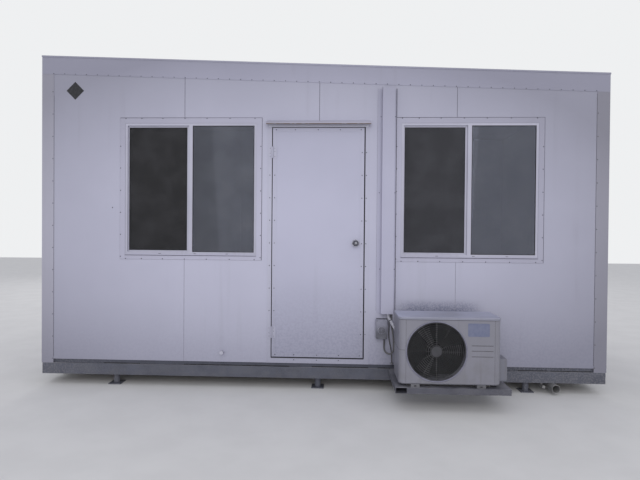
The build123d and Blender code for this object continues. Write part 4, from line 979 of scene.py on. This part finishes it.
route = [
    (0.5830, -1.0165, 0.4530), (0.5830, -1.0165, 0.4230), (0.5807, -1.0165, 0.3670),
    (0.6034, -1.0350, 0.3377), (0.6356, -1.0611, 0.3377), (0.6584, -1.0796, 0.3670),
    (0.6608, -1.0726, 0.4370), (0.6549, -1.0551, 0.5155), (0.6425, -1.0130, 0.5974),
    (0.6425, -1.0130, 0.6870),
]
cord_piece("power_conduit_line", "power_conduit", route, 0.007, conduit_grey)
route = [
    (0.6255, -1.009, 0.6870), (0.6255, -1.009, 0.5735), (0.6230, -1.009, 0.4600),
    (0.6510, -1.009, 0.3465), (0.6510, -1.009, 0.2330),
]
cord_piece("condensate_hose_line", "condensate_hose", route, 0.005, hose_rubber)
dress(weathered_zinc("clip_zinc", (0.13, 0.13, 0.15), (0.22, 0.22, 0.25), 0.62, 0.3), "hose_clip")


# Shelf and feet: a welded steel frame, painted grey once and now dusty, and two paler pressed
# steel feet that are bolted down through it.
shelf_ledge = 0.193
shelf_tones = (0.062, 0.063, 0.080), (0.100, 0.101, 0.126)
shelf_steel = weathered_zinc("shelf_steel", *shelf_tones, 0.66, 0.4, shelf_ledge)
dress(weathered_zinc("foot_zinc", (0.085, 0.085, 0.095), (0.17, 0.17, 0.19), 0.70, 0.2), "ac_feet")
dress(shelf_steel, "ac_shelf")
foot_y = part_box("ac_feet")[0].y
slot_y = foot_y - 0.0006, foot_y + 0.001
boxes = [((x - 0.009, slot_y[0], 0.200), (x + 0.009, slot_y[1], 0.2105)) for x in (0.778, 1.284)]
blocks("foot_bolt_slots", boxes, black_rubber)


# Air conditioner casing: enamelled steel, off-white, painted darker as painted shade and dulled by
# dust, with a lid over a dark rubber seal that is also painted shadow under its edge, the lid's top
# painted paler as painted light, pressed lines beside the fan, a bare nameplate and a moulded valve
# cover.
def enamel(name, base_colour, dust_share, lit_top_colour=None, lit_top_height=0.0):
    """Stoved paint; a lid's top is painted paler from just under its top, as painted light."""
    material, shader, place = new_finish(name, 0.4)
    skin = use_group(paint_skin, place, Grain=700.0, Wave=4.0)
    dim = [0.92 * part for part in base_colour]
    base = blend(skin["Tone"], dim, base_colour)
    streaks = use_group(rain_streaks, place, Width=26.0, Length=1.5)["Mask"]
    dust = use_group(splash_dust, place, Reach=0.75, Scale=9.0)["Mask"]
    layers = [(streaks, 0.3, (0.12, 0.115, 0.12)), (dust, dust_share, (0.14, 0.138, 0.145))]
    # painted light: the face that looks up is paler
    if lit_top_colour:
        upper = span(axis_of(place, "Z"), lit_top_height - 0.005, lit_top_height - 0.001)
        layers.append((upper, skin["Tone"], lit_top_colour))
    paint(shader, base, *layers)
    add_bump(shader, skin["Height"], 0.2)
    return material


# painted shade: the enamel tones are darker than the unit's off-white
dress(enamel("casing_enamel", (0.205, 0.205, 0.244), 0.35), "ac_casing")
lid_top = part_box("ac_lid")[1].z
dress(enamel("lid_enamel", (0.225, 0.230, 0.290), 0.2, (0.390, 0.405, 0.540), lid_top), "ac_lid")
dress(enamel("valve_enamel", (0.165, 0.168, 0.205), 0.3), "ac_valve_cover")

unit_low, unit_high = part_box("ac_casing")
unit_corner = 0.047
face_y = unit_low.y


def round_front(height, out, stop_y):
    """A level line round the casing's rounded front corners, this far outside its sheet."""
    spots = [(unit_low.x - out, stop_y)]
    for middle, first in ((unit_low.x + unit_corner, math.pi), (unit_high.x - unit_corner, 1.5 * math.pi)):
        spots += arc(middle, face_y + unit_corner, unit_corner + out, first, math.pi / 2, 8)
    return [(x, y, height) for x, y in (*spots, (unit_high.x + out, stop_y))]


side_stop = unit_high.y - 0.01
# a black seal under the lid's edge, also painted shadow of the overhang
beads("lid_seal_and_shadow", [round_front(unit_high.z - 0.0012, 0.0006, side_stop)], 0.0022, black_rubber)
side_seam = round_front(0.479, 0.0001, side_stop)[:10]
base_seam = round_front(unit_low.z + 0.0035, 0.0004, side_stop)
beads("casing_seams", [side_seam, base_seam], 0.0012, dark_sealant_and_shade)
seam_dark = sealant("seam_dark", (0.085, 0.085, 0.098), (0.13, 0.13, 0.148))
groove_shadow = sealant("groove_shadow", (0.060, 0.060, 0.068), (0.095, 0.095, 0.108))
groove_back = face_y + 0.0015
seam_low, seam_high = unit_low.z + 0.002, unit_high.z - 0.002
boxes = []
for x in (unit_low.x + 0.054, unit_high.x - 0.050):
    boxes.append(((x - 0.0014, face_y + 0.0006, seam_low), (x + 0.0014, groove_back, seam_high)))
blocks("casing_panel_seams", boxes, seam_dark)
groove_y, groove_x = face_y + 0.0007, (1.2102, 1.3748)
grooves = 0.4331, 0.4771, 0.5181
boxes = [((groove_x[0], groove_y, z), (groove_x[1], groove_back, z + 0.0048)) for z in grooves]
blocks("casing_groove_shadows", boxes, groove_shadow)

# Nameplate place: a bare enamelled plate with rounded corners
plate_tones = (0.122, 0.138, 0.218), (0.150, 0.163, 0.242)
plate_blue = mottled("plate_blue", 0.35, *plate_tones, (30.0, 5.0, 0.35, 0.75), 0.0002, (700.0, 3.0))
plate_round = 0.009
plate_left, plate_right = 1.180 + plate_round, 1.345 - plate_round
plate_low, plate_high = 0.591 + plate_round, 0.693 - plate_round
outline = []
for x, z, quarter in (
    (plate_right, plate_high, 0),
    (plate_left, plate_high, 1),
    (plate_left, plate_low, 2),
    (plate_right, plate_low, 3),
):
    outline += arc(x, z, plate_round, quarter * math.pi / 2, math.pi / 2, 6)
flat_plate("blank_nameplate", outline, face_y - 0.0012, face_y + 0.0003, plate_blue)


# Fan guard: black round wires in rings, welded to spokes behind them, round a slightly domed dark
# boss; a moulded lip, painted paler as painted highlight on its rounded edge, holds the guard's
# rim to the casing.
def black_coat(name, dark, pale, roughness, sheen=0.5):
    material = mottled(name, roughness, dark, pale, (18.0, 5.0, 0.65, 0.38, 0.72), 0.0003, (600.0, 3.0))
    material.node_tree.nodes["Principled BSDF"].inputs["Specular IOR Level"].default_value = sheen
    return material


guard_black = black_coat("guard_black", (0.050, 0.050, 0.054), (0.106, 0.106, 0.112), 0.5)
boss_grey = black_coat("boss_grey", (0.036, 0.036, 0.042), (0.052, 0.052, 0.060), 0.5)
# painted highlight: the lip is paler where its rounded edge catches light
lip_grey_highlit = black_coat("lip_grey_highlit", (0.15, 0.15, 0.20), (0.20, 0.20, 0.26), 0.45)

guard_floats = "First Radius", "Ring Pitch", "Spoke Start", "Spoke End", "Wire Radius"
guard_sockets = [("Rings", "Int"), ("Spokes", "Int"), *((label, "Float") for label in guard_floats)]
wire_guard, given = geometry_tree("wire guard", guard_sockets)
counter = wire_guard.nodes.new("GeometryNodeInputIndex").outputs[0]
circle = {"Resolution": 6, "Radius": given["Wire Radius"]}
section = add_node("GeometryNodeCurvePrimitiveCircle", circle, mode="RADIUS").outputs[0]


def wires_of(count, instance, **sizes):
    """Copies of a curve, each turned or sized by its number, with the wire's round section."""
    points = add_node("GeometryNodePoints", {"Count": count}).outputs[0]
    copies = add_node("GeometryNodeInstanceOnPoints", {"Points": points, "Instance": instance, **sizes})
    real = add_node("GeometryNodeRealizeInstances", {"Geometry": copies.outputs[0]}).outputs[0]
    even = add_node("GeometryNodeSetCurveRadius", {"Curve": real, "Radius": 1.0}).outputs[0]
    swept = {"Curve": even, "Profile Curve": section, "Fill Caps": True}
    return add_node("GeometryNodeCurveToMesh", swept).outputs[0]


circle = {"Resolution": 64, "Radius": 1.0}
unit_ring = add_node("GeometryNodeCurvePrimitiveCircle", circle, wire_guard, mode="RADIUS").outputs[0]
ring_size = maths("ADD", given["First Radius"], times(counter, given["Ring Pitch"]))
ring_wires = wires_of(given["Rings"], unit_ring, Scale=ring_size)
depth = times(given["Wire Radius"], -1.8)
spoke_start = add_node("ShaderNodeCombineXYZ", {"X": given["Spoke Start"], "Z": depth}).outputs[0]
spoke_end = add_node("ShaderNodeCombineXYZ", {"X": given["Spoke End"], "Z": depth}).outputs[0]
spoke = add_node("GeometryNodeCurvePrimitiveLine", {"Start": spoke_start, "End": spoke_end}).outputs[0]
turn_step = maths("DIVIDE", math.tau, given["Spokes"])
turn = add_node("ShaderNodeCombineXYZ", {"Z": times(counter, turn_step)}).outputs[0]
spoke_wires = wires_of(given["Spokes"], spoke, Rotation=turn)
whole = wire_guard.nodes.new("GeometryNodeJoinGeometry")
wire(whole.inputs[0], ring_wires)
wire(whole.inputs[0], spoke_wires)
close_tree(wire_guard, whole.outputs[0], given["Finish"])

fan_x, fan_z = unit_low.x + 0.289, unit_low.z + 0.252
guard_outer = 0.231
boss_radius = 0.044
ring_count = 12
wire_radius = 0.0017
guard_face = Matrix.Translation((fan_x, face_y - 0.0022, fan_z)) @ Matrix.Rotation(math.pi / 2, 4, "X")
blank = bpy.data.meshes.new("guard_start")
blank.from_pydata([(0.0, 0.0, 0.0)], [], [])
values = {"Rings": ring_count, "First Radius": boss_radius + 0.006, "Spokes": 12, "Finish": guard_black}
values["Ring Pitch"] = (guard_outer - 0.010 - boss_radius - 0.006) / (ring_count - 1)
values.update({"Spoke Start": boss_radius - 0.01, "Spoke End": guard_outer - 0.004})
values["Wire Radius"] = wire_radius
guard = bake_tree("fan_guard", blank, wire_guard, values)
guard.data.transform(guard_face)
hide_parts("ac_grille")


def turned(name, profile, place_matrix, finish, body="cabin", steps=64):
    """A closed shape turned round its own axis from points of radius and height."""
    shape = bmesh.new()
    rings = []
    for radius, height in profile:
        if radius == 0.0:
            rings.append([shape.verts.new((0.0, 0.0, height))])
            continue
        spots = arc(0.0, 0.0, radius, 0.0, math.tau, steps)[:-1]
        rings.append([shape.verts.new((x, y, height)) for x, y in spots])
    pairs = list(zip(rings, rings[1:]))
    if len(rings[0]) > 1 and len(rings[-1]) > 1:
        pairs.append((rings[-1], rings[0]))
    for lower, upper in pairs:
        for index in range(steps):
            after = (index + 1) % steps
            corners = [ring[step % len(ring)] for ring, step in ((lower, index), (lower, after))]
            corners += [ring[step % len(ring)] for ring, step in ((upper, after), (upper, index))]
            shape.faces.new(list(dict.fromkeys(corners)))
    bmesh.ops.recalc_face_normals(shape, faces=shape.faces[:])
    piece = shape_piece(name, shape, finish, body)
    piece.data.transform(place_matrix)
    piece.data.polygons.foreach_set("use_smooth", [True] * len(piece.data.polygons))


boss_profile = [(0.0, 0.0014), (0.022, 0.0012), (0.036, 0.0004), (0.041, -0.0004)]
boss_profile += [(0.0435, -0.0016), (0.0435, -0.0040), (0.041, -0.0046), (0.0, -0.0046)]
turned("guard_boss", boss_profile, guard_face, boss_grey)
lip_profile = [(0.2270, -0.0060), (0.2270, 0.0004), (0.2300, 0.0024), (0.2345, 0.0026)]
lip_profile += [(0.2380, 0.0006), (0.2380, -0.0024), (0.2306, -0.0024), (0.2306, -0.0060)]
turned("guard_lip", lip_profile, guard_face, lip_grey_highlit, steps=96)


# Fan, motor and coil: a three-bladed black fan on a steel motor, before a block of thin fins that
# lint has settled on.
dress(black_coat("fan_black", (0.019, 0.019, 0.021), (0.031, 0.031, 0.034), 0.8, 0.15), "ac_fan")
dress(weathered_zinc("motor_steel", (0.006, 0.006, 0.007), (0.011, 0.011, 0.013), 0.7, 0.2), "ac_motor")
fin_metal, shader, place = new_finish("fin_metal", 0.45, 0.7)
fins = maths("SINE", times(axis_of(place, "X"), 3100.0))
lint = span(noise(place, 25.0, 5.0, 0.7), 0.45, 0.75)
base = blend(span(fins, -1.0, 1.0), (0.04, 0.04, 0.045), (0.22, 0.23, 0.25))
paint(shader, base, (lint, 0.5, (0.10, 0.095, 0.085)))
add_bump(shader, fins, 0.001)
dress(fin_metal, "ac_coil")


# Drain pipes: dark plastic pipes under the floor, one wide and open and one thin, and a pale capped
# stub on the wall; all are dusty.
sewer_dark, shader, place = new_finish("sewer_dark", 0.6)
mud = span(noise(place, 14.0, 5.0, 0.65), 0.35, 0.7)
dark_tone = blend(mud, (0.16, 0.16, 0.165), (0.29, 0.29, 0.295))
pale_tone = blend(mud, (0.36, 0.36, 0.43), (0.47, 0.47, 0.56))
on_wall = span(axis_of(place, "Z"), 0.20, 0.22)
paint(shader, blend(on_wall, dark_tone, pale_tone))
add_bump(shader, noise(place, 240.0, 3.0), 0.0004)
dress(sewer_dark, "drain_pipes")


seen_low, seen_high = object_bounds()
sizes = {
    "cad": [list(cad_low), list(cad_high)],
    "visual": [list(seen_low), list(seen_high)],
}
